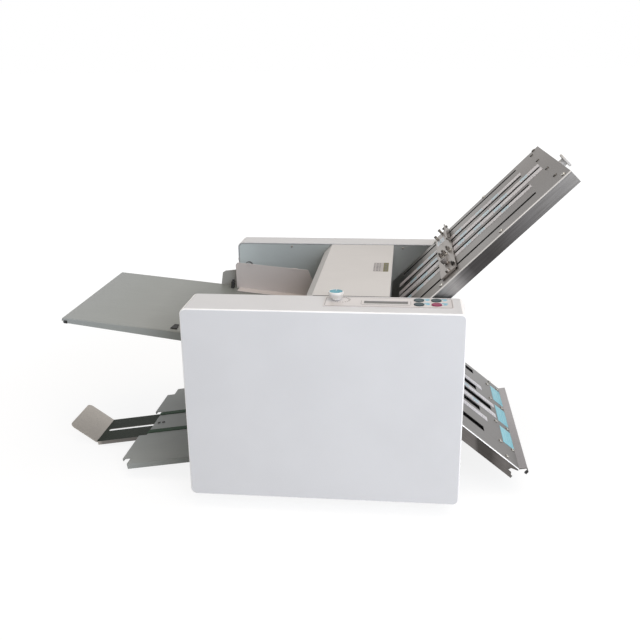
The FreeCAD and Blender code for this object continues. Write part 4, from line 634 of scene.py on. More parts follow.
def display_window():
    material, tree, own = begin("display_window", "#6d6d68", body_axes)
    rows = add(tree, "ShaderNodeTexWave", {"Vector": own, "Scale": WAVE_UNIT / DISPLAY_ROW},
               bands_direction="Y")
    tone = add(tree, "ShaderNodeValToRGB", {"Fac": rows.outputs[1]},
               stops=[(0.0, "#4e4e4a"), (1.0, "#62625d")])
    window = add(tree, "ShaderNodeBsdfPrincipled",
                 {"Base Color": tone.outputs[0], "IOR": 1.5, "Specular IOR Level": 0.2, "Roughness": 0.3,
                  "Coat Weight": 0.15, "Coat Roughness": 0.05})
    add(tree, "ShaderNodeOutputMaterial", {"Surface": window.outputs[0]})
    return material


smoked_window = display_window()
print("window:", smoked_window.name)

# %% [markdown]
# ## Circuit boards
# The boards are glass fibre with a glossy green mask over copper tracks. Tracks could be drawn one
# by one, but the boards lie inside the housing. A brick pattern stands for them, because tracks too
# run in straight lines with right angles between them.

# %% Solder mask
TRACK, TRACK_DEPTH = 6.0, 0.05


def solder_mask():
    material, tree, own = begin("green_solder_mask", "#1f5a3a", body_axes)
    tracks = add(tree, "ShaderNodeTexBrick", {"Vector": own, "Scale": 0.5 / TRACK, "Mortar Size": 0.03,
                                              "Color1": linear("#1c5236"), "Color2": linear("#236343"),
                                              "Mortar": linear("#3a7d58")})
    relief = add(tree, "ShaderNodeBump", {"Height": tracks.outputs[1], "Distance": TRACK_DEPTH * MM})
    mask = add(tree, "ShaderNodeBsdfPrincipled", {"Base Color": tracks.outputs[0], "IOR": 1.5,
                                                  "Roughness": 0.28, "Normal": relief.outputs[0]})
    add(tree, "ShaderNodeOutputMaterial", {"Surface": mask.outputs[0]})
    return material


board_green = solder_mask()
print("boards:", board_green.name)

# %% [markdown]
# ## Motor enamel
# The motors are cast and dipped in black enamel. The casting's grain, 2 mm wide, still shows
# through it as a soft relief. Displacing the housing would change its size, so the grain is a bump.

# %% Motor enamel
CAST_GRAIN, CAST_DEPTH, CAST_ROUND = 2.0, 0.08, 0.8


def motor_enamel():
    material, tree, own = begin("black_motor_enamel", "#1e1e20", body_axes)
    cast = add(tree, "ShaderNodeTexNoise", {"Vector": own, "Scale": 1 / CAST_GRAIN, "Detail": 4.0})
    tone = add(tree, "ShaderNodeValToRGB", {"Fac": cast.outputs[0]},
               stops=[(0.3, "#18181a"), (0.7, "#2a2a2d")])
    rounded = add(tree, "ShaderNodeBevel", {"Radius": CAST_ROUND * MM}, samples=4)
    relief = add(tree, "ShaderNodeBump", {"Height": cast.outputs[0], "Distance": CAST_DEPTH * MM,
                                          "Normal": rounded.outputs[0]})
    enamel = add(tree, "ShaderNodeBsdfPrincipled", {"Base Color": tone.outputs[0], "IOR": 1.5,
                                                    "Roughness": 0.35, "Normal": relief.outputs[0]})
    add(tree, "ShaderNodeOutputMaterial", {"Surface": enamel.outputs[0]})
    return material


motor_black = motor_enamel()
print("motors:", motor_black.name)

# %% [markdown]
# ## A finish for every part
# The record names a finish for each part, so most parts can be painted straight from its list;
# painting them one by one would be longer and could miss one. Parts that slope in their own
# direction get the sheet whose grain follows them.

# %% Give each part its finish
finish_of_slot = {
    "white_powder_coat": white_coat, "grey_frame_paint": frame_enamel, "grey_table_paint": table_enamel,
    "cream_cover_paint": cream_coat, "stainless_sheet": chute_steel, "grey_steel_guide": guide_lacquer,
    "bare_steel": shaft_steel, "zinc_screw": zinc_plate, "sintered_bronze": bronze,
    "black_rubber": black_rubber, "green_belt": green_belt, "black_belt": black_belt,
    "white_moulding": white_abs, "dark_key": slate_abs, "red_key": red_abs, "panel_film": panel_film,
    "display_glass": smoked_window, "green_board": board_green, "black_motor": motor_black,
    "acetal_gear": cream_acetal, "scale_film": upper_scale_film, "cyan_label": cyan_film,
    "black_plastic": black_abs,
}
finish_of_part = {
    "upper_plate_face": upper_steel, "upper_plate_back": upper_steel, "lower_plate_face": lower_steel,
    "lower_plate_back": lower_steel, "delivery_arm": arm_steel, "delivery_tray": tray_enamel,
    "upper_stop": nickel_plate, "lower_stop": nickel_plate, "tray_screws": black_oxide_and_shadow,
    "end_knob": greyer_abs,
}


def paint(part, material):
    """The whole part in one material."""
    part.data.materials.clear()
    part.data.materials.append(material)
    for face in part.data.polygons:
        face.material_index = 0


for entry in frame["record"]["subparts"]:
    paint(nodes[entry["node"]], finish_of_part.get(entry["node"], finish_of_slot[entry["material_slot"]]))

# %% [markdown]
# ## A second finish on some faces
# Some parts wear two finishes: a roller has rubber on a steel core, and a folded sheet gets a
# painted highlight at its bends. A thin shell could be laid over the steel, but two shapes in one
# place flicker. Each face knows its middle and its direction, so a short test can pick the faces
# that get the second finish, and the shape of the part isn't touched.

# %% Paint chosen faces
FLAT, WALL, BEND = 0.97, 0.95, 0.2      # how far a face looks along an axis: 1 is straight along it
LIP_LEAST, LIP_MOST, LIP_ACROSS = 0.5, 0.85, 0.1


def paint_faces(part, material, chosen):
    """Give a second material to the faces for which chosen(middle, direction) is true; count them."""
    mesh = nodes[part].data
    mesh.materials.append(material)
    slot = len(mesh.materials) - 1
    picked = [face for face in mesh.polygons if chosen(face.center, face.normal)]
    for face in picked:
        face.material_index = slot
    return len(picked)


def out_of_face(place):
    """The direction that a sloping part's face looks in."""
    return (place.to_3x3() @ Vector((0, 0, 1))).normalized()


def round_edge(middle, direction):
    """Faces of a rounded edge or corner: they look along none of the three axes."""
    return max(abs(direction.x), abs(direction.y), abs(direction.z)) < FLAT


def wall(middle, direction):
    """Faces of the near and far walls of a folded sheet, and of the slots cut in it."""
    return abs(direction.y) >= WALL


def near_bend(middle, direction):
    """Faces of the bend between a sheet's face and its near wall."""
    return BEND < -direction.y < WALL


def lip(middle, direction):
    """Faces of the folded lip at the outer end of the lower plate."""
    return LIP_LEAST < direction.dot(out_of_face(lower_plate)) < LIP_MOST and abs(direction.y) < LIP_ACROSS


# The rounded edges of both housings take the whiter coat, a painted highlight.
edges = sum(paint_faces(part, white_edge_highlight, round_edge) for part in ("front_cover", "rear_cover"))
walls = paint_faces("upper_plate_face", upper_wall_steel, wall)
walls += paint_faces("lower_plate_face", lower_wall_steel, wall)
# The near bends of both plates take the painted highlight.
bends = paint_faces("upper_plate_face", upper_bend_highlight, near_bend)
bends += paint_faces("lower_plate_face", lower_bend_highlight, near_bend)
# The lip's faces take that lighter tone, a painted reflection.
lips = paint_faces("lower_plate_face", lip_reflection_steel, lip)
print("edge faces:", edges, "wall faces:", walls, "bend faces:", bends, "lip faces:", lips)

# %% [markdown]
# ## Grip sheet and whiter scales
# The deck of the catch arm is covered with the green grip sheet. The scales of the lower plate are
# painted whiter than those above. Both could be pieces of their own, but they lie flush, so their
# faces are painted.

# %% Deck and lower scales
FACING = 0.99
BETWEEN_SCALES = 190.0      # height above the foot of the housing, between the two sets of scales

deck_out = out_of_face(tray)
deck_faces = paint_faces("delivery_arm", green_deck,
                         lambda middle, direction: direction.dot(deck_out) > FACING)
lower_faces = paint_faces("plate_scales", lower_scale_film,
                          lambda middle, direction: (middle.z - machine.z) / MM < BETWEEN_SCALES)
print("deck faces:", deck_faces, "faces of the lower scales:", lower_faces)

# %% [markdown]
# ## Cheek of the feed table
# The ramp along the table paints shade that darkens towards the housing. The cheek stands up beside
# the paper and is given a lighter copy of the enamel instead, which is painted light. The ramp
# can't tell the cheek apart, because it doesn't look at heights. So the cheek's faces, which stand
# well above the table's top, are painted with lighter tones.

# %% Cheek
table_back = feed_table.inverted()
CHEEK_FROM = 2.0
cheek_faces = paint_faces("feed_table", cheek_lit_enamel,
                          lambda middle, direction: (table_back @ middle).z > CHEEK_FROM)
print("cheek faces:", cheek_faces)

# %% [markdown]
# ## Painted shade under the slots
# Paper runs between each face sheet and a back sheet. The side of the back sheet that the paper
# touches, and the cut edges of the slots, are painted near black: painted shade, so that the slots
# look black from outside. Shadow alone would leave them grey in a bright tent.

# %% Painted slot shade
# Near black for the painted shade in the slots.
slot_shade_black = moulded_plastic("black_painted_slot_shade", "#161414", "#211e1e", 0.5)
SLOT_REACH = 146.0          # the outermost slots end nearer to the centre line than this
RUNWAY, CUT_EDGE = 0.9, 0.5


def cut_edge(middle, direction):
    """Faces of the slots: they look across the plate, and lie within the plate's walls."""
    return abs(direction.y) > CUT_EDGE and abs(middle.y - machine.y) < SLOT_REACH * MM


runway = 0
for side, place in (("upper", upper_plate), ("lower", lower_plate)):
    out = out_of_face(place)
    runway += paint_faces(side + "_plate_back", slot_shade_black,
                          lambda middle, direction: direction.dot(out) > RUNWAY)
    runway += paint_faces(side + "_plate_face", slot_shade_black, cut_edge)
print("runway faces:", runway)

# %% [markdown]
# ## Rubber on the rollers
# Fold rollers carry ground rubber sleeves, the feed roller three tyres, and the delivery roller a
# drum under each belt. A face is rubber where it lies further from the axis than the steel core,
# and only between the side frames, because gears and pulleys sit outside them.

# %% Sleeves and tyres
throat_low, throat_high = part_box("frame_tie_bars")
CORES = {"fold_roller_1": 7.5, "fold_roller_2": 7.5, "fold_roller_3": 7.5, "fold_roller_4": 7.5,
         "delivery_roller": 4.5, "feed_roller": 6.5}


def sleeve(part, core):
    """Test for the faces of a roller beyond its steel core, between the side frames."""
    low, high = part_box(part)
    x, z = (low.x + high.x) / 2, (low.z + high.z) / 2
    return lambda middle, direction: (throat_low.y < middle.y < throat_high.y
                                      and math.hypot(middle.x - x, middle.z - z) > core * MM)


paint(nodes["feed_roller"], shaft_steel)
rubber_faces = sum(paint_faces(part, roller_rubber, sleeve(part, core)) for part, core in CORES.items())
print("rubber faces:", rubber_faces)

# %% [markdown]
# ## Builders for small pieces
# Print, nuts and springs are thin closed solids that lie on their part. Stock cubes and cylinders
# would need scaling and cutting for each of them. Four short builders make the shapes that a
# workshop makes: a block, a drawn outline with thickness, a turned profile with flutes where
# fingers grip, and a wound spring.

# %% Block and drawn outline
def block(bm, low, high):
    """Box between two corners."""
    size = [h - l for l, h in zip(low, high)]
    middle = [(l + h) / 2 for l, h in zip(low, high)]
    bmesh.ops.create_cube(bm, size=1.0, matrix=Matrix.Translation(middle) @ Matrix.Diagonal((*size, 1)))


def drawn(bm, outline, low, high):
    """Closed outline of (along, across) points, raised from low to high."""
    lower = [bm.verts.new((u, y, low)) for u, y in outline]
    upper = [bm.verts.new((u, y, high)) for u, y in outline]
    bm.faces.new(lower[::-1])
    bm.faces.new(upper)
    for i in range(len(outline)):
        j = (i + 1) % len(outline)
        bm.faces.new((lower[i], lower[j], upper[j], upper[i]))


print("flat builders ready")

# %% [markdown]
# ## Turned shapes
# A knob or nut comes off a lathe, so it is built as one: rings of points at given radii and
# heights, joined by faces. A screw modifier would turn a profile too, but it can't dent the rings
# where flutes should be. Rings marked True are dented by flutes, and a ring of six points makes a
# hexagon.

# %% Turned profile
def turned(bm, profile, at, axis=(0, 0, 1), steps=32, flutes=0, flute_depth=0.0):
    """Profile of (radius, height[, fluted]) points turned about an axis."""
    stand = Vector((0, 0, 1)).rotation_difference(Vector(axis))
    lathe = Matrix.Translation(at) @ stand.to_matrix().to_4x4()
    rings = []
    for radius, height, *fluted in profile:
        ring = []
        for i in range(steps):
            angle = 2 * math.pi * i / steps
            dent = flute_depth * (0.5 + 0.5 * math.cos(flutes * angle)) if fluted else 0.0
            ring.append(bm.verts.new(lathe @ Vector(((radius - dent) * math.cos(angle),
                                                     (radius - dent) * math.sin(angle), height))))
        rings.append(ring)
    bm.faces.new(rings[0][::-1])
    bm.faces.new(rings[-1])
    for below, above in zip(rings, rings[1:]):
        for i in range(steps):
            j = (i + 1) % steps
            bm.faces.new((below[i], below[j], above[j], above[i]))


print("lathe ready")

# %% [markdown]
# ## Springs
# A spring is a wire wound on a mandrel. A curve with a bevel could be the wire, but a mesh is what
# the other builders give. Rings of eight points follow the winding, which is the same as sweeping a
# small circle along a helix.

# %% Coil
ROUND_STEPS, WIRE_SIDES = 16, 8


def coil(bm, at, radius, wire, length, turns):
    """Spring round a line that stands out of the face."""
    steps = int(turns * ROUND_STEPS)
    rings = []
    for i in range(steps + 1):
        angle = 2 * math.pi * turns * i / steps
        outward = Vector((math.cos(angle), math.sin(angle), 0))
        centre = Vector(at) + outward * radius + Vector((0, 0, length * i / steps))
        ring = []
        for k in range(WIRE_SIDES):
            swing = 2 * math.pi * k / WIRE_SIDES
            ring.append(bm.verts.new(centre + wire * (outward * math.cos(swing)
                                                      + Vector((0, 0, 1)) * math.sin(swing))))
        rings.append(ring)
    bm.faces.new(rings[0])
    bm.faces.new(rings[-1][::-1])
    for first, second in zip(rings, rings[1:]):
        for k in range(WIRE_SIDES):
            j = (k + 1) % WIRE_SIDES
            bm.faces.new((first[k], first[j], second[j], second[k]))


print("spring winder ready")

# %% [markdown]
# ## From builder to piece
# Each builder works in its part's own millimetres. One function moves the finished mesh to its
# place, smooths what is round, breaks sharp edges where asked, and lets the piece ride on the body
# that carries it.

# %% Make a piece
SHARP_FROM = 35.0           # degrees between two faces


def piece(name, build, place, material, body, edge=0.0):
    """Make a piece from its builder and let it ride on a body."""
    bm = bmesh.new()
    build(bm)
    bm.transform(place)
    bmesh.ops.recalc_face_normals(bm, faces=bm.faces)
    mesh = bpy.data.meshes.new(name)
    bm.to_mesh(mesh)
    bm.free()
    mesh.shade_smooth()
    mesh.set_sharp_from_angle(angle=math.radians(SHARP_FROM))
    mesh.materials.append(material)
    made = bpy.data.objects.new(name, mesh)
    bpy.context.scene.collection.objects.link(made)
    if edge:
        broken = made.modifiers.new("broken_edge", "BEVEL")
        broken.width = edge * MM
        broken.segments = 2
        broken.limit_method = "ANGLE"
    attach(made, body)
    return made


print("pieces can be made")

# %% [markdown]
# ## Speed knob
# The knob widens towards the hand, with flutes to grip, a white rim and a sunk cyan cap that
# carries a pointer. Flutes could be cut with twenty small cylinders; a turned profile with dented
# rings gives them in one go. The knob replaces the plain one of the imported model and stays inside
# it.

# %% Speed knob
KNOB_X, KNOB_Y, PANEL_TOP = 17.0, -178.0, 294.8
KNOB_LIFT, KNOB_FOOT, KNOB_TOP, KNOB_TALL = 0.4, 6.6, 11.4, 12.6
CAP_INSET, CAP_SUNK = 1.8, 0.6
knob_axes = body_axes @ Matrix.Translation((KNOB_X, KNOB_Y, PANEL_TOP + KNOB_LIFT))


def knob_body(bm):
    profile = [(3.0, -14.0), (3.0, 0.0), (KNOB_FOOT - 0.6, 0.0), (KNOB_FOOT, 0.5),
               (KNOB_FOOT + 0.4, 1.2, True), (KNOB_TOP - 1.0, 7.0, True), (KNOB_TOP - 0.2, 8.4, True),
               (KNOB_TOP, 9.2), (KNOB_TOP, 11.4), (KNOB_TOP - 0.3, 12.2), (KNOB_TOP - 0.9, KNOB_TALL),
               (KNOB_TOP - 1.6, KNOB_TALL), (KNOB_TOP - CAP_INSET, KNOB_TALL - 0.5)]
    turned(bm, profile, (0, 0, 0), steps=120, flutes=20, flute_depth=0.9)


def knob_cap(bm):
    radius = KNOB_TOP - CAP_INSET
    turned(bm, [(radius, KNOB_TALL - CAP_SUNK), (radius, KNOB_TALL - 0.3), (radius - 0.6, KNOB_TALL - 0.08),
                (radius - 3.0, KNOB_TALL - 0.02)], (0, 0, 0), steps=64)


def knob_pointer(bm):
    block(bm, (-0.5, 1.5, KNOB_TALL - 0.2), (0.5, KNOB_TOP - 3.0, KNOB_TALL))


knob = piece("speed_knob_body", knob_body, knob_axes, white_abs, "speed_knob")
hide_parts("speed_knob")
piece("speed_knob_cap", knob_cap, knob_axes, cyan_abs, "speed_knob")
piece("speed_knob_pointer", knob_pointer, knob_axes, white_film, "speed_knob", 0.1)
print("speed knob:", round(2 * KNOB_TOP, 1), "mm across")

# %% [markdown]
# ## Line round the control panel
# A thin printed line with round corners frames the film, as on most front panels. A curve with a
# bevel would give a round wire, and ink is flat. So the line is drawn as short straight strips
# between two rounded outlines, one line width apart.

# %% Panel outline
INK = (PANEL_TOP, PANEL_TOP + 0.12)
PANEL, PANEL_CORNER, PANEL_LINE = (2.2, 181.8, -207.4, -165.4), 4.0, 0.9


def rounded_outline(x0, x1, y0, y1, radius, steps=6):
    """Points round a rectangle with rounded corners."""
    points = []
    for cx, cy, start in ((x1 - radius, y1 - radius, 0), (x0 + radius, y1 - radius, 90),
                          (x0 + radius, y0 + radius, 180), (x1 - radius, y0 + radius, 270)):
        for i in range(steps + 1):
            angle = math.radians(start + 90 * i / steps)
            points.append((cx + radius * math.cos(angle), cy + radius * math.sin(angle)))
    return points


def line_round(bm, box, radius, width, low, high):
    """Closed line of the given width, inside a rounded rectangle."""
    x0, x1, y0, y1 = box
    outer = rounded_outline(x0, x1, y0, y1, radius)
    inner = rounded_outline(x0 + width, x1 - width, y0 + width, y1 - width, radius - width)
    for i in range(len(outer)):
        j = (i + 1) % len(outer)
        drawn(bm, [outer[i], outer[j], inner[j], inner[i]], low, high)


piece("panel_outline", lambda bm: line_round(bm, PANEL, PANEL_CORNER, PANEL_LINE, *INK), body_axes,
      grey_ink, "chassis")
print("panel outline:", round(PANEL[1] - PANEL[0], 1), "mm long")

# %% [markdown]
# ## Speed ring
# Blocks printed round the knob show the speed: each is a little longer and wider than the one
# before it. Copying one block round the circle would make them all alike, so each is worked out
# from its number. Their ring sits to the right of the knob, where the knob doesn't hide it.

# %% Speed ring
RING_X, RING_Y, RING_BLOCKS = 24.4, -177.5, 17
RING_START, RING_TURN = -150.0, 300.0                       # degrees
HALF_WIDTH, WIDTH_GROWTH = 3.2, 2.6                         # degrees
RING_INNER, RING_OUTER, LENGTH_GROWTH = 10.6, 12.4, 2.4


def speed_ring(bm):
    for i in range(RING_BLOCKS):
        angle = math.radians(RING_START + RING_TURN * i / (RING_BLOCKS - 1))
        side = math.radians(HALF_WIDTH + WIDTH_GROWTH * i / RING_BLOCKS)
        outer = RING_OUTER + LENGTH_GROWTH * i / RING_BLOCKS
        drawn(bm, [(RING_X + r * math.cos(angle + s), RING_Y + r * math.sin(angle + s))
                   for r, s in ((RING_INNER, -side), (outer, -side), (outer, side), (RING_INNER, side))],
              *INK)


piece("speed_ring_print", speed_ring, body_axes, grey_ink, "chassis")
print("speed blocks:", RING_BLOCKS)

# %% [markdown]
# ## Print beside the keys
# Beside each key stand two light cyan patches with slanted ends, where a maker prints the key's
# meaning. The patches stay blank. A pale ring round each key hides the edge of its hole. All of it
# is laid on as thin solids, clear of the key, so that a pressed key doesn't touch the print.

# %% Key print
KEYS = [(135.1, -174.5), (159.6, -174.5), (135.1, -194.5), (159.6, -194.5)]
PATCHES = ((5.9, 5.6, 8.0, 3.4), (8.4, -0.6, 5.2, 4.6))     # right of the key, behind it, length, height
PATCH_LEAN = 2.4
KEY_RING, KEY_RING_STEPS = (7.7, 8.3), 32


def key_patches(bm):
    for x, y in KEYS:
        for dx, dy, length, tall in PATCHES:
            left, near = x + dx, y + dy
            drawn(bm, [(left, near), (left + length, near), (left + length + PATCH_LEAN, near + tall),
                       (left + PATCH_LEAN, near + tall)], *INK)


def key_rings(bm):
    inner, outer = KEY_RING
    for x, y in KEYS:
        for i in range(KEY_RING_STEPS):
            a, b = (2 * math.pi * k / KEY_RING_STEPS for k in (i, i + 1))
            drawn(bm, [(x + r * math.cos(t), y + r * math.sin(t))
                       for r, t in ((inner, a), (outer, a), (outer, b), (inner, b))], *INK)


piece("key_patch_print", key_patches, body_axes, key_cyan_ink, "chassis")
piece("key_ring_print", key_rings, body_axes, white_film, "chassis")
print("keys with print:", len(KEYS))

# %% [markdown]
# ## Domed key tops
# A round key is slightly domed, so that a fingertip finds its middle. A bump can't lift the middle
# of a flat face, so the dome is a shallow turned cap that lies inside the rim of the key and rides
# with it. Its lighter tone is a painted highlight, the light that the dome catches on top.

# %% Key domes
KEY_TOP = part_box("key_1")[1].z / MM - machine.z / MM
DOME = [(4.6, KEY_TOP - 1.25), (4.4, KEY_TOP - 0.9), (3.2, KEY_TOP - 0.55), (1.4, KEY_TOP - 0.4)]
DOME_LEFT, DOME_BEHIND = 0.6, 0.4

for number, (x, y) in enumerate(KEYS, 1):
    middle = (x - DOME_LEFT, y + DOME_BEHIND, 0)
    piece("key_%d_dome" % number, lambda bm: turned(bm, DOME, middle, steps=32), body_axes,
          red_dome_highlight if number == 4 else slate_dome_highlight, "key_%d" % number)
print("key tops at", round(KEY_TOP, 2), "mm")

# %% [markdown]
# ## Line round the display
# The window sits in a raised frame with round ends. A thin dark line marks where the frame meets
# the film. It is the panel's line again, with other measures.

# %% Display line
DISPLAY = (57.6, 119.6, -194.5, -181.5)
DISPLAY_FRAME, DISPLAY_CORNER, DISPLAY_LINE = 4.3, 3.2, 0.6


def display_line(bm):
    x0, x1, y0, y1 = DISPLAY
    frame_box = (x0 - DISPLAY_FRAME, x1 + DISPLAY_FRAME, y0 - DISPLAY_FRAME, y1 + DISPLAY_FRAME)
    line_round(bm, frame_box, DISPLAY_CORNER, DISPLAY_LINE, *INK)


piece("display_outline", display_line, body_axes, grey_ink, "chassis")
print("display:", DISPLAY[1] - DISPLAY[0], "mm long")

# %% [markdown]
# ## Blank sticker on the centre cover
# The cover carries a small two-tone sticker. Its words stay off: a few dark bars fill the pale
# part, and others the olive part. Each half is a film of its own, because that is simpler than one
# film with two finishes.

# %% Centre cover sticker
COVER_TOP = 293.0
FILM_TOP, PRINT_TOP = COVER_TOP + 0.15, COVER_TOP + 0.22
STICKER = (62.6, 87.2, -10.4, 46.6)
OLIVE_FROM = 79.0
PALE_ROWS, PALE_FIRST, PALE_STEP, PALE_TALL = 6, 4, 8.8, 4.0
PALE_BARS = ((0.6, 1.8), (4.6, 3.4), (9.4, 2.2))            # place from the left edge, width
OLIVE_ROWS, OLIVE_FIRST, OLIVE_STEP, OLIVE_TALL = 4, 7, 12.0, 5.0
OLIVE_LEFT, OLIVE_RIGHT = 2.4, 1.8


def sticker_half(x0, x1):
    y0, y1 = STICKER[2:]
    return lambda bm: drawn(bm, [(x0, y0), (x1, y0), (x1, y1), (x0, y1)], COVER_TOP, FILM_TOP)


def pale_bars(bm):
    for i in range(PALE_ROWS):
        y = STICKER[2] + PALE_FIRST + i * PALE_STEP
        for start, width in PALE_BARS:
            left = STICKER[0] + start
            block(bm, (left, y, FILM_TOP), (left + width, y + PALE_TALL, PRINT_TOP))


def olive_bars(bm):
    for i in range(OLIVE_ROWS):
        y = STICKER[2] + OLIVE_FIRST + i * OLIVE_STEP
        block(bm, (OLIVE_FROM + OLIVE_LEFT, y, FILM_TOP),
              (STICKER[1] - OLIVE_RIGHT, y + OLIVE_TALL, PRINT_TOP))


for name, build, material in (("pale_half", sticker_half(STICKER[0], OLIVE_FROM), sticker_film),
                              ("olive_half", sticker_half(OLIVE_FROM, STICKER[1]), olive_ink),
                              ("grey_bars", pale_bars, dark_ink_and_recess_shade), ("dark_bars", olive_bars, dark_ink_and_recess_shade)):
    piece("sticker_" + name, build, body_axes, material, "centre_cover")
print("sticker:", round(STICKER[1] - STICKER[0], 1), "by", round(STICKER[3] - STICKER[2], 1), "mm")

# %% [markdown]
# ## Shadow strip on the centre cover
# A thin dark strip stands under the front edge of the centre cover, along the gap between cover and
# housing. It is painted shadow, the shade in that gap, and shows as a thin line along the housing.
# The line could be painted on the cover, but a strip with a thickness also casts its own small
# shadow.

# %% Cover shadow strip
COVER_SHADOW_STRIP = [(-20.0, -156.0), (93.0, -156.0), (93.0, -152.6), (-20.0, -151.6)]
SHADOW_STRIP_FOOT, SHADOW_STRIP_RISE = 291.6, 0.12

# The strip is painted shadow in the gap; it takes the black rubber finish.
piece("centre_cover_shadow_strip", lambda bm: drawn(bm, COVER_SHADOW_STRIP, SHADOW_STRIP_FOOT, COVER_TOP + SHADOW_STRIP_RISE), body_axes,
      black_rubber, "centre_cover", 0.3)
print("gasket:", COVER_SHADOW_STRIP[1][0] - COVER_SHADOW_STRIP[0][0], "mm long")

# %% [markdown]
# ## Ticks on the scales
# Each scale strip has a tick every 5 mm, longer at every 20 mm. A tick is a thin block of ink,
# 0.6 mm wide, which is what a screen printer can hold. An array modifier would need one object for
# the long ticks and one for the short; a loop makes both in one piece.

# %% Scale ticks
UPPER_STRIPS = [(66.0, 84.0, 294.0), (17.0, 37.0, 323.0), (-17.0, 5.0, 323.0), (-58.0, -40.0, 294.0)]
LOWER_STRIPS = [(72.0, 88.0, 197.0), (30.0, 44.0, 221.0), (-13.0, 3.0, 220.0), (-60.0, -45.0, 195.0)]
SCALE_TOP, PRINT_LAYER = 0.4, 0.08
FIRST_TICK, TICK_STEP, TICK_WIDE, TICK_MARGIN = 24.0, 5, 0.6, 0.5
LONG_EVERY, LONG_TICK, SHORT_TICK = 4, 0.5, 0.26            # every fourth; shares of the strip's width


def ticks(strips):
    def build(bm):
        for y0, y1, end in strips:
            for i in range(int((end - FIRST_TICK) / TICK_STEP)):
                u, y = FIRST_TICK + i * TICK_STEP, y0 + TICK_MARGIN
                reach = (y1 - y0) * (LONG_TICK if i % LONG_EVERY == 0 else SHORT_TICK)
                block(bm, (u, y, SCALE_TOP), (u + TICK_WIDE, y + reach, SCALE_TOP + PRINT_LAYER))
    return build


piece("upper_scale_ticks", ticks(UPPER_STRIPS), upper_plate, grey_ink, "chassis")
piece("lower_scale_ticks", ticks(LOWER_STRIPS), lower_plate, grey_ink, "chassis")
print("strips:", len(UPPER_STRIPS) + len(LOWER_STRIPS))

# %% [markdown]
# ## Sheet size fields
# Pale cyan fields on the scales show where the stop stands for common sheets and folds. They are
# plain fields with no words, 14 mm long, in the places where sizes crowd together. Their places are
# listed one by one, because no rule spaces them.

# %% Size fields
UPPER_FIELDS = [(62, 88, 150, 196, 232), (46, 92, 158, 206, 244, 286), (70, 150, 184, 226),
                (34, 60, 84, 160, 188, 236)]
LOWER_FIELDS = [(60, 120), (96, 150), (80, 168), (70, 128)]
FIELD_LONG, FIELD_NEAR, FIELD_FAR = 14, 0.2, 1.0            # mm, share of the strip's width, mm


def size_fields(strips, fields):
    def build(bm):
        for (y0, y1, end), starts in zip(strips, fields):
            for u in starts:
                block(bm, (u, y0 + (y1 - y0) * FIELD_NEAR, SCALE_TOP),
                      (u + FIELD_LONG, y1 - FIELD_FAR, SCALE_TOP + PRINT_LAYER))
    return build


piece("upper_size_fields", size_fields(UPPER_STRIPS, UPPER_FIELDS), upper_plate, pale_cyan_ink, "chassis")
piece("lower_size_fields", size_fields(LOWER_STRIPS, LOWER_FIELDS), lower_plate, pale_cyan_ink, "chassis")
print("fields:", sum(len(f) for f in UPPER_FIELDS + LOWER_FIELDS))

# %% [markdown]
# ## Fields on the three cyan labels
# The lower plate carries three cyan labels. Lighter lines stand where their words would be. They
# run along each label at four depths, each with its own margins, so that they look like print and
# not like a grille.

# %% Label fields
LABELS = [(72.0, 136.0), (-14.0, 50.0), (-94.0, -34.0)]
LABEL_U, LABEL_TOP = 224.4, 0.2
LABEL_LINES = ((3.0, 8, 20), (8.0, 12, 8), (13.4, 6, 26), (18.4, 16, 10))   # depth, near and far margin
LINE_WIDE = 2.2


def label_fields(bm):
    for y0, y1 in LABELS:
        for along, near, far in LABEL_LINES:
            block(bm, (LABEL_U + along, y0 + near, LABEL_TOP),
                  (LABEL_U + along + LINE_WIDE, y1 - far, LABEL_TOP + PRINT_LAYER))


piece("label_fields", label_fields, lower_plate, label_ink, "chassis")
print("labels:", len(LABELS))

# %% [markdown]
# ## Find the screws
# Each screw head gets its own cross, so the heads have to be found first. Typing their places would
# leave the crosses behind if a screw moves. So the walk below splits a part's mesh into separate
# solids and keeps their corners.

# %% Separate solids of a part
SAME_POINT = 1e-6           # metres
PLATE_HEAD, HEAD_SLACK = 1.6, 0.3


def solids(part, place):
    """Lowest and highest corners of each separate solid of a part, in the millimetres of place."""
    bm = bmesh.new()
    bm.from_mesh(nodes[part].data)
    bmesh.ops.remove_doubles(bm, verts=bm.verts, dist=SAME_POINT)
    bm.transform(place.inverted())
    seen, found = set(), []
    for start in bm.verts:
        if start in seen:
            continue
        group, todo = [], [start]
        seen.add(start)
        while todo:
            vert = todo.pop()
            group.append(vert.co.copy())
            for edge in vert.link_edges:
                other = edge.other_vert(vert)
                if other not in seen:
                    seen.add(other)
                    todo.append(other)
        found.append([Vector(f(c[i] for c in group) for i in range(3)) for f in (min, max)])
    bm.free()
    return found


def plate_heads(place):
    """The screws whose heads stand on the plate of these axes."""
    return [s for s in solids("plate_screws", place) if abs(s[1].z - PLATE_HEAD) < HEAD_SLACK]


upper_found, lower_found = plate_heads(upper_plate), plate_heads(lower_plate)
print("plate screws above and below:", len(upper_found), len(lower_found))

# %% [markdown]
# ## Crosses and shadow rings
# A cross recess is struck into each head, and a dark ring lies on the plate round each head. A
# recess could be cut with a boolean, but at this size only its darkness shows. So both are thin dark
# solids: the cross stands a hair above the head, the ring a hair above the plate. Both are painted
# shade: the cross for the shade inside the recess, the ring for the shadow round the head.

# %% Screw details
CROSS_SUNK, CROSS_PROUD = 0.3, 0.05
PLATE_ARM, PLATE_BAR, RING_RADIUS = 1.7, 0.32, 3.3


def cross(bm, u, y, top, arm, bar, sunk=CROSS_SUNK):
    """Two crossed blocks round (u, y), from inside a head to a hair above it."""
    for du, dy in ((arm, bar), (bar, arm)):
        block(bm, (u - du, y - dy, top - sunk), (u + du, y + dy, top + CROSS_PROUD))


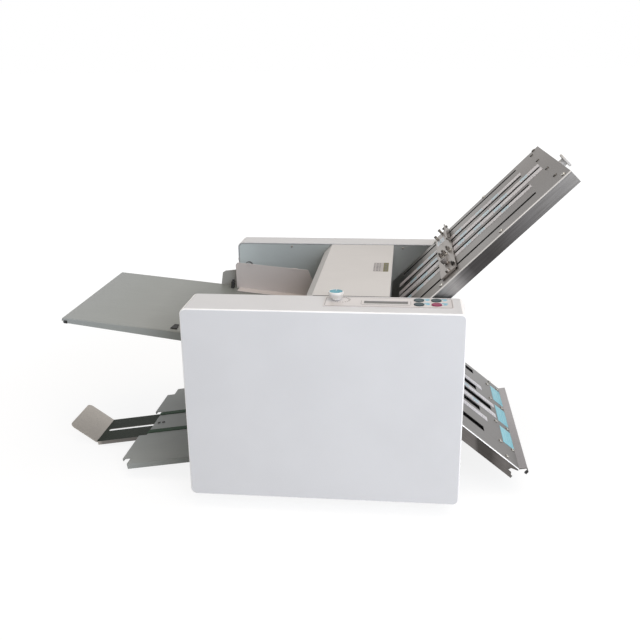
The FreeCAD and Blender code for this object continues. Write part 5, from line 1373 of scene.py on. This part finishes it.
def screw_middle(low, high):
    return (low.x + high.x) / 2, (low.y + high.y) / 2


def crosses(found):
    return lambda bm: [cross(bm, *screw_middle(low, high), high.z, PLATE_ARM, PLATE_BAR)
                       for low, high in found]


def shadow_rings(found):
    profile = [(RING_RADIUS, 0.0), (RING_RADIUS, 0.1), (RING_RADIUS - 0.2, 0.14)]
    return lambda bm: [turned(bm, profile, (*screw_middle(low, high), 0)) for low, high in found]


for side, found, place in (("upper", upper_found, upper_plate), ("lower", lower_found, lower_plate)):
    piece(side + "_screw_crosses", crosses(found), place, dark_ink_and_recess_shade, "chassis")
    piece(side + "_screw_shadow_rings", shadow_rings(found), place, black_oxide_and_shadow, "chassis")
print("crosses:", len(upper_found) + len(lower_found))

# %% [markdown]
# ## Dark heads along the upper end
# The screws along the outer end of the upper plate have a dark nickel skin, and all others are
# bright zinc. The heads are one part, so they can't take a finish each; the faces beyond a distance
# along the plate are painted dark.

# %% Dark screw heads
upper_back = upper_plate.inverted()
DARK_FROM_U, BRIGHT_UNTIL_Y, NEAR_FACE = 318.0, -125.0, 3


def end_row(middle, direction):
    at = upper_back @ middle
    return abs(at.z) < NEAR_FACE and at.x > DARK_FROM_U and at.y > BRIGHT_UNTIL_Y


print("dark faces:", paint_faces("plate_screws", nickel_dark, end_row))

# %% [markdown]
# ## Crosses on the tray screws
# Two small screws hold the catch arm. They sit on a washer plate as one solid, which the walk can't
# split, so their places are listed, along the tray's slope.

# %% Tray screw crosses
TRAY_SCREWS, TRAY_HEAD, ARM_MIDDLE = (-323.97, -315.97), 0.9, -0.5
TRAY_ARM, TRAY_BAR, TRAY_SUNK = 1.8, 0.35, 0.2

# The crosses are painted shade in the recesses.
piece("tray_screw_crosses",
      lambda bm: [cross(bm, u, ARM_MIDDLE, TRAY_HEAD, TRAY_ARM, TRAY_BAR, TRAY_SUNK) for u in TRAY_SCREWS],
      tray, dark_ink_and_recess_shade, "chassis")
print("tray screws:", len(TRAY_SCREWS))

# %% [markdown]
# ## Crosses on the cover screws
# The housings are held by screws at their ends, and those heads look sideways. The same walk finds
# them. The cross is laid on the side that faces out, which takes blocks of its own, because the
# builder above only knows heads that look up.

# %% Cover screw crosses
cover_found = solids("cover_screws", body_axes)
COVER_ARM, COVER_BAR = 2.2, 0.4


def cover_crosses(bm):
    for low, high in cover_found:
        side = 1 if low.x > 0 else -1
        face = high.x if side > 0 else low.x
        y, z = (low.y + high.y) / 2, (low.z + high.z) / 2
        x0, x1 = sorted((face - side * CROSS_SUNK, face + side * CROSS_PROUD))
        for dy, dz in ((COVER_ARM, COVER_BAR), (COVER_BAR, COVER_ARM)):
            block(bm, (x0, y - dy, z - dz), (x1, y + dy, z + dz))


# The crosses are painted shade in the recesses.
piece("cover_screw_crosses", cover_crosses, body_axes, dark_ink_and_recess_shade, "chassis")
print("cover screws:", len(cover_found))

# %% [markdown]
# ## Screw heads inside the rear frame
# Two small pan heads show high on the inner face of the rear frame, where the housing is fixed to
# it. A squashed sphere could stand for a pan head; a turned profile has its straight rim too.

# %% Rear frame screws
REAR_FACE = 182.0
REAR_SCREWS = [(-97.2, 287.6), (110.0, 286.8)]
PAN_HEAD = [(1.9, -0.5), (1.9, 0.5), (1.5, 0.9), (0.8, 1.1)]


def rear_heads(bm):
    for x, z in REAR_SCREWS:
        turned(bm, PAN_HEAD, (x, REAR_FACE, z), axis=(0, -1, 0), steps=24)


piece("rear_frame_screw_heads", rear_heads, body_axes, nickel_plate, "chassis")
print("heads on the rear frame:", len(REAR_SCREWS))

# %% [markdown]
# ## Nuts on the paper stops
# A stop carriage is a small machine of its own. A row of three hex nuts sets its angle. The packed
# model has the nuts; here each gets a washer and a chamfered crown with the threaded tip that
# stands out of it. A thread could be swept along a helix, but at this size rings that widen and
# narrow look the same.

# %% Nuts and washers
UPPER_STOP_U, LOWER_STOP_U = 126.0, 70.0
BAR_TOP = 4.0
NUTS = [(9.0, -8.0), (0.0, -10.0), (-6.5, -11.0)]
WASHER = [(4.3, 0.0), (4.3, 0.6), (3.9, 0.8)]
THREADS, PITCH = 4, 0.6
THREADED_TIP = ([(2.9, 5.9), (2.5, 6.4), (1.7, 6.4)]
                + [(radius, height + i * PITCH) for i in range(THREADS)
                   for radius, height in ((1.9, 6.6), (1.55, 6.9))] + [(1.0, 9.2)])


def on_bar(places, profile, steps, **grip):
    """Builder: the same turned profile at each (along, across) place, standing on the bar."""
    raised = [(radius, BAR_TOP + height, *fluted) for radius, height, *fluted in profile]

    def build(bm):
        for u, y in places:
            turned(bm, raised, (u, y, 0), steps=steps, **grip)
    return build


print("nuts on each stop:", len(NUTS))

# %% [markdown]
# ## Springs and heads on the stop studs
# Three studs stand near the rear end of each bar. A spring round each one keeps the bar pressed
# against its slide, and a small black cap closes it. A stack of rings could stand for a spring,
# but light runs along a real winding, so each one is wound.

# %% Stud springs
UPPER_FAR, LOWER_FAR = 148.0, 155.0
STUDS = [(11.0, 22.0), (1.0, 6.0), (-9.0, 29.0)]            # along, before the far end
SPRING_FOOT = 0.5
SPRING = {"radius": 2.1, "wire": 0.35, "length": 6.0, "turns": 5}
STUD_CAP = [(2.2, 7.2), (2.2, 8.4), (1.8, 9.1), (0.9, 9.3)]


def springs(places):
    return lambda bm: [coil(bm, (u, y, BAR_TOP + SPRING_FOOT), **SPRING) for u, y in places]


print("studs on each stop:", len(STUDS))

# %% [markdown]
# ## Clamp knob, slotted screw and bolt
# A knurled knob clamps the carriage, a slotted screw fixes the bar to its slide, and a dark hex
# bolt carries its finger. A knurl of crossed grooves would need thousands of faces; straight flutes
# round the plain knob, with a dished top, give the same rough edge.

# %% Clamp and screws
CLAMP_Y, SLOTTED_Y, BOLT = -66.0, -116.0, (11.0, -102.0)
CLAMP_GRIP = [(5.5, 2.4), (6.0, 2.9, True), (6.0, 8.2, True), (5.5, 8.9), (4.7, 9.3), (4.2, 9.15)]
SLOT_HALF, SLOT_BAR, SLOT_LOW, SLOT_HIGH = 3.5, 0.5, 3.1, 3.56
BOLT_PARTS = (([(3.5, 0.0), (3.5, 0.5), (3.2, 0.7)], 28),   # washer
              ([(2.9, 0.7), (2.9, 3.0), (2.6, 3.3)], 6),    # hexagon
              ([(1.5, 3.3), (1.5, 5.0), (1.1, 5.4)], 18))   # tip
BOLT_EDGE = 0.15


# The slot is a dark block: painted shade inside the slot of the screw head.
def screw_slot(u0):
    low, high = BAR_TOP + SLOT_LOW, BAR_TOP + SLOT_HIGH
    return lambda bm: block(bm, (u0 - SLOT_HALF, SLOTTED_Y - SLOT_BAR, low),
                            (u0 + SLOT_HALF, SLOTTED_Y + SLOT_BAR, high))


def hex_bolt(u0):
    place = (u0 + BOLT[0], BOLT[1])
    return lambda bm: [on_bar([place], profile, steps)(bm) for profile, steps in BOLT_PARTS]


print("clamp grip:", 2 * max(ring[0] for ring in CLAMP_GRIP), "mm across")

# %% [markdown]
# ## Pins and label on the bar
# Three pins pass through the upstanding flange of the bar and stop its fingers. A pale label beside
# the flange has three cyan lines in place of words. Pins are turned like the nuts, only about an
# axis that lies along the plate.

# %% Pins and bar label
FLANGE_U, PIN_HEIGHT = 14.0, 9.0
PIN = [(1.5, -3.4), (1.8, -3.0), (1.8, 3.2), (1.4, 3.8)]
PINS, LAST_PIN = (50.0, 86.0), 12.0                         # the last is given before the far end
BAR_LABEL, LABEL_FILM = (-13.0, 4.0, 76.0, 112.0), 0.15
BAR_LINES, LINE_MARGIN, LINE_TOP = (-10.5, -5.5, -0.5), 3.0, 0.22


def flange_pins(u0, far_end):
    return lambda bm: [turned(bm, PIN, (u0 + FLANGE_U, y, PIN_HEIGHT), axis=(1, 0, 0), steps=20)
                       for y in (*PINS, far_end - LAST_PIN)]


def bar_label(u0):
    left, right, near, far = BAR_LABEL
    corners = [(u0 + left, near), (u0 + right, near), (u0 + right, far), (u0 + left, far)]
    return lambda bm: drawn(bm, corners, BAR_TOP, BAR_TOP + LABEL_FILM)


def bar_label_lines(u0):
    near, far = BAR_LABEL[2] + LINE_MARGIN, BAR_LABEL[3] - LINE_MARGIN
    return lambda bm: [block(bm, (u0 + along, near, BAR_TOP + LABEL_FILM),
                             (u0 + along + LINE_WIDE, far, BAR_TOP + LINE_TOP)) for along in BAR_LINES]


print("pins on each flange:", len(PINS) + 1)

# %% [markdown]
# ## Dress both carriages
# The upper and the lower stop are the same make, so each gets the same set in the millimetres of
# its own plate, and all of it slides with the stop. The set is one list, so that a change to it
# reaches both.

# %% Make the stop hardware
dressed = 0
for stop, place, u0, far_end in (("upper_stop", upper_plate, UPPER_STOP_U, UPPER_FAR),
                                 ("lower_stop", lower_plate, LOWER_STOP_U, LOWER_FAR)):
    nuts = [(u0 + du, y) for du, y in NUTS]
    studs = [(u0 + du, far_end - before) for du, before in STUDS]
    grip = on_bar([(u0, CLAMP_Y)], CLAMP_GRIP, 120, flutes=30, flute_depth=0.4)
    for name, build, material, edge in (("washers", on_bar(nuts, WASHER, 28), zinc_plate, 0.0),
                                        ("threaded_tips", on_bar(nuts, THREADED_TIP, 20), nickel_dark, 0.0),
                                        ("springs", springs(studs), zinc_plate, 0.0),
                                        ("stud_caps", on_bar(studs, STUD_CAP, 24), black_oxide_and_shadow, 0.0),
                                        ("clamp_grip", grip, clamp_grey, 0.0),
                                        ("screw_slot", screw_slot(u0), dark_ink_and_recess_shade, 0.0),
                                        ("hex_bolt", hex_bolt(u0), black_oxide_and_shadow, BOLT_EDGE),
                                        ("flange_pins", flange_pins(u0, far_end), nickel_dark, 0.0),
                                        ("label", bar_label(u0), lower_scale_film, 0.0),
                                        ("label_lines", bar_label_lines(u0), pale_cyan_ink, 0.0)):
        piece(stop + "_" + name, build, place, material, stop, edge)
        dressed += 1
print("pieces on the two carriages:", dressed)

# %% [markdown]
# ## Knurled guide knobs
# Each side guide is set with a small knurled knob behind its sheet. Fluting the plain discs of the
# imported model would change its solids, so they are replaced by turned ones with a grip, a chamfer
# and a grey inlay in the middle. A short stud joins each knob to its sheet.

# %% Guide knobs
GUIDE_KNOB_U, GUIDE_KNOB_W = -175.9, 44.0
GUIDE_SHEET, KNOB_GAP = 1.2, 0.3
GUIDE_GRIP = [(6.6, 0.0), (7.5, 0.8, True), (7.5, 6.0, True), (6.8, 7.0), (4.6, 7.0), (4.2, 6.2),
              (1.5, 6.2)]
GUIDE_INLAY = [(6.2, -0.12), (6.4, 0.02), (6.4, 0.3)]
GUIDE_STUD = [(2.5, 0.0), (2.5, GUIDE_SHEET + 0.4)]


def behind_guide(profile, y, outward, steps, **grip):
    """Builder: a profile turned about the knob's axis, from y outwards."""
    return lambda bm: turned(bm, profile, (GUIDE_KNOB_U, y, GUIDE_KNOB_W), axis=(0, outward, 0),
                             steps=steps, **grip)


for name, y, outward in (("far_guide_knob", 129.0, 1), ("near_guide_knob", -85.0, -1)):
    back = y + outward * (GUIDE_SHEET + KNOB_GAP)
    made = piece(name + "_grip", behind_guide(GUIDE_GRIP, back, outward, 120, flutes=30, flute_depth=0.5),
                 feed_table, black_abs, name)
    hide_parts(name)
    piece(name + "_inlay", behind_guide(GUIDE_INLAY, back, outward, 48), feed_table, grey_abs, name)
    piece(name + "_stud", behind_guide(GUIDE_STUD, y, outward, 24), feed_table, guide_lacquer, name)
print("guide knobs:", 2)

# %% [markdown]
# ## Guide foot and tab
# The far guide slides on a small black block at its outer end, and a folded tab on its top edge
# holds the sheet that passes below. Both are drawn as outlines with a thickness, because that is
# how such parts are cut.

# %% Guide details
SLIDE_BLOCK = [(-205.0, 122.0), (-199.4, 122.0), (-199.4, 132.0), (-205.0, 132.0)]
BLOCK_FOOT, BLOCK_TOP = 0.4, 13.0
SLIDE_SCREW, SCREW_AT = [(2.2, BLOCK_TOP), (2.2, 16.0), (1.6, 16.8)], (-202.2, 127.0, 0)
TOP_TAB = [(-96.0, 128.6), (-84.0, 128.6), (-86.0, 131.0), (-94.0, 131.0)]
TAB_FOOT, TAB_TOP = 45.0, 49.4
SHEET_EDGE = 0.4


def guide_block(bm):
    drawn(bm, SLIDE_BLOCK, BLOCK_FOOT, BLOCK_TOP)
    turned(bm, SLIDE_SCREW, SCREW_AT, steps=20)


piece("far_guide_slide_block", guide_block, feed_table, black_abs, "far_guide", SHEET_EDGE)
piece("far_guide_top_tab", lambda bm: drawn(bm, TOP_TAB, TAB_FOOT, TAB_TOP), feed_table, guide_lacquer,
      "far_guide", SHEET_EDGE)
print("guide block:", round(BLOCK_TOP - BLOCK_FOOT, 1), "mm tall, tab:", round(TAB_TOP - TAB_FOOT, 1))

# %% [markdown]
# ## Black end caps
# Small rubber caps cover sharp sheet corners: one at the outer corner of the feed table and one on
# the near end of the lower plate's lip. A third, flat dark block lies on the feed table near the
# housing. A cap could be a swollen copy of its corner, but moulded caps are simple blocks with
# broken edges.

# %% End caps
CAPS = (("table_corner_cap", feed_table, -9.0, -4.0, 0.5,
         [(-416.9, -133.4), (-411.0, -133.4), (-411.0, -128.0), (-416.9, -128.0)]),
        ("table_dark_pad", feed_table, 0.0, 1.6, 0.4,
         [(-249.0, -124.0), (-238.0, -124.0), (-240.0, -104.0), (-247.0, -104.0)]),
        ("lower_lip_cap", lower_plate, -0.4, 4.6, 0.5,
         [(258.0, -155.2), (262.2, -155.2), (262.2, -150.6), (259.0, -150.6)]))

for name, place, low, high, edge, outline in CAPS:
    piece(name, lambda bm: drawn(bm, outline, low, high), place, black_rubber, "chassis", edge)
print("caps:", len(CAPS))

# %% [markdown]
# ## Mark on the power switch
# The rocker shows a raised bar for on, so the switch can be read from behind. It is a block of its
# own that rides with the rocker, because ink on a face would turn with it but wouldn't be felt.

# %% Rocker mark
MARK_HALF, MARK_FROM, MARK_UNTIL = 0.4, 3.5, 7.5            # half its width; above the middle
MARK_DEEP, MARK_SHY = 1.0, 0.2                              # inside the rocker's outermost face
rocker_low, rocker_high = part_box("power_rocker")


def rocker_mark(bm):
    x, z = (rocker_low.x + rocker_high.x) / 2, (rocker_low.z + rocker_high.z) / 2
    block(bm, (x - MARK_HALF * MM, rocker_high.y - MARK_DEEP * MM, z + MARK_FROM * MM),
          (x + MARK_HALF * MM, rocker_high.y - MARK_SHY * MM, z + MARK_UNTIL * MM))


piece("rocker_on_mark", rocker_mark, Matrix.Identity(4), white_film, "power_rocker")
print("rocker:", round((rocker_high.z - rocker_low.z) / MM, 1), "mm tall")

# %% [markdown]
# ## World
# The machine stands in a bright tent. Rays that go straight to the camera, come off a mirror or
# pass through glass see the tent at full white. Everything else gets a lower, even light, so that
# a paint shows about its chart value once the lamps are added. One strength for all rays would
# either grey the background or wash out the paint.

# %% World
EVEN_LIGHT = 0.35
world = bpy.data.worlds.new("bright_tent")
bpy.context.scene.world = world
world.use_nodes = True
tent = world.node_tree
tent.nodes.clear()
path = add(tent, "ShaderNodeLightPath")
seen = add(tent, "ShaderNodeMath", {0: path.outputs["Is Camera Ray"], 1: path.outputs["Is Glossy Ray"]},
           operation="MAXIMUM")
seen = add(tent, "ShaderNodeMath", {0: seen.outputs[0], 1: path.outputs["Is Transmission Ray"]},
           operation="MAXIMUM")
even = add(tent, "ShaderNodeBackground", {"Color": linear("#ffffff"), "Strength": EVEN_LIGHT})
bright = add(tent, "ShaderNodeBackground", {"Color": linear("#ffffff"), "Strength": 1.0})
either = add(tent, "ShaderNodeMixShader", {0: seen.outputs[0], 1: even.outputs[0], 2: bright.outputs[0]})
add(tent, "ShaderNodeOutputWorld", {"Surface": either.outputs[0]})
print("even light:", EVEN_LIGHT)

# %% [markdown]
# ## Floor
# The floor is matt white paper. Plain paper would come out grey where the lamps don't reach. So for
# the camera it is mostly lit from within, as a light table is, and the rest of it keeps the
# machine's shadow. Further away it is lit from within alone, so that it meets the tent without a
# line.

# %% Floor
FLOOR_HALF, PAPER_UNTIL, GLOW_FROM = 30.0, 0.5, 1.6         # metres from the middle
GLOW_SHARE, GLOW = 0.78, 1.1


def light_table():
    material = bpy.data.materials.new("white_paper_floor")
    material.use_nodes = True
    tree = material.node_tree
    tree.nodes.clear()
    path = add(tree, "ShaderNodeLightPath")
    seen = add(tree, "ShaderNodeMath", {0: path.outputs["Is Camera Ray"], 1: path.outputs["Is Glossy Ray"]},
               operation="MAXIMUM")
    where = add(tree, "ShaderNodeTexCoord")
    away = add(tree, "ShaderNodeVectorMath", {0: where.outputs["Object"]}, operation="LENGTH")
    within = add(tree, "ShaderNodeMapRange", {"Value": away.outputs["Value"], "From Min": PAPER_UNTIL,
                                              "From Max": GLOW_FROM, "To Min": GLOW_SHARE, "To Max": 1.0},
                 interpolation_type="SMOOTHSTEP")
    share = add(tree, "ShaderNodeMath", {0: seen.outputs[0], 1: within.outputs[0]}, operation="MULTIPLY")
    paper = add(tree, "ShaderNodeBsdfDiffuse", {"Color": linear("#f4f4f4")})
    glow = add(tree, "ShaderNodeEmission", {"Color": linear("#ffffff"), "Strength": GLOW})
    both = add(tree, "ShaderNodeMixShader", {0: share.outputs[0], 1: paper.outputs[0], 2: glow.outputs[0]})
    add(tree, "ShaderNodeOutputMaterial", {"Surface": both.outputs[0]})
    return material


floor_mesh = bpy.data.meshes.new("floor")
floor_mesh.from_pydata([(-FLOOR_HALF, -FLOOR_HALF, 0), (FLOOR_HALF, -FLOOR_HALF, 0),
                        (FLOOR_HALF, FLOOR_HALF, 0), (-FLOOR_HALF, FLOOR_HALF, 0)], [], [(0, 1, 2, 3)])
floor_mesh.materials.append(light_table())
floor = bpy.data.objects.new("floor", floor_mesh)
bpy.context.scene.collection.objects.link(floor)
print("floor:", 2 * FLOOR_HALF, "m wide")

# %% [markdown]
# ## Lamps
# Two square panels shape the edges: a warm one above and to the right, and a cool one in front and
# to the right. Spots would throw hard shadows; these panels are wider than the machine, so their
# shadows are soft.

# %% Lamps
def panel_light(name, at, aim, size, power, colour):
    """Square soft light at a place, turned towards a point."""
    lamp = bpy.data.lights.new(name, "AREA")
    lamp.size = size
    lamp.energy = power
    lamp.color = linear(colour)[:3]
    made = bpy.data.objects.new(name, lamp)
    bpy.context.scene.collection.objects.link(made)
    made.location = at
    made.rotation_euler = (Vector(aim) - Vector(at)).to_track_quat("-Z", "Y").to_euler()
    return made


middle = (cad_box[0] + cad_box[1]) / 2
lamps = [panel_light("overhead_panel", middle + Vector((0.6, -0.5, 2.0)), middle, size=2.0, power=26.5,
                     colour="#fff0e0"),
         panel_light("front_panel", middle + Vector((1.3, -2.0, 1.0)), middle, size=1.6, power=36.0,
                     colour="#ecf3ff")]
print("lamps:", [lamp.name for lamp in lamps])

# %% [markdown]
# ## Camera
# The camera stands in front and a little to the right, at eye height of someone who sits at the
# bench, and looks slightly down. Its place is a point in the machine's millimetres, and three
# angles turn it.

# %% Camera
LENS = 45.195
AZIMUTH, ELEVATION, ROLL = 6.254, 18.343, -0.699
STAND = Vector((113.9, -1277.6, 630.3))

camera_data = bpy.data.cameras.new("camera")
camera_data.lens = LENS
camera_data.sensor_width = 36.0
camera_data.clip_start = 0.05
camera_data.clip_end = 200.0
camera = bpy.data.objects.new("camera", camera_data)
bpy.context.scene.collection.objects.link(camera)
turn, tilt = math.radians(AZIMUTH), math.radians(ELEVATION)
forward = Vector((-math.sin(turn) * math.cos(tilt), math.cos(turn) * math.cos(tilt), -math.sin(tilt)))
rightward = forward.cross(Vector((0, 0, 1))).normalized()
level = Matrix((rightward, rightward.cross(forward), -forward)).transposed()
camera.matrix_world = (Matrix.Translation(machine + STAND * MM)
                       @ (level @ Matrix.Rotation(math.radians(ROLL), 3, "Z")).to_4x4())
bpy.context.scene.camera = camera
print("camera at", [round(v, 3) for v in camera.matrix_world.translation])

# %% [markdown]
# ## View
# The standard view shows colours as they are mixed.

# %% View
bpy.context.scene.view_settings.view_transform = "Standard"
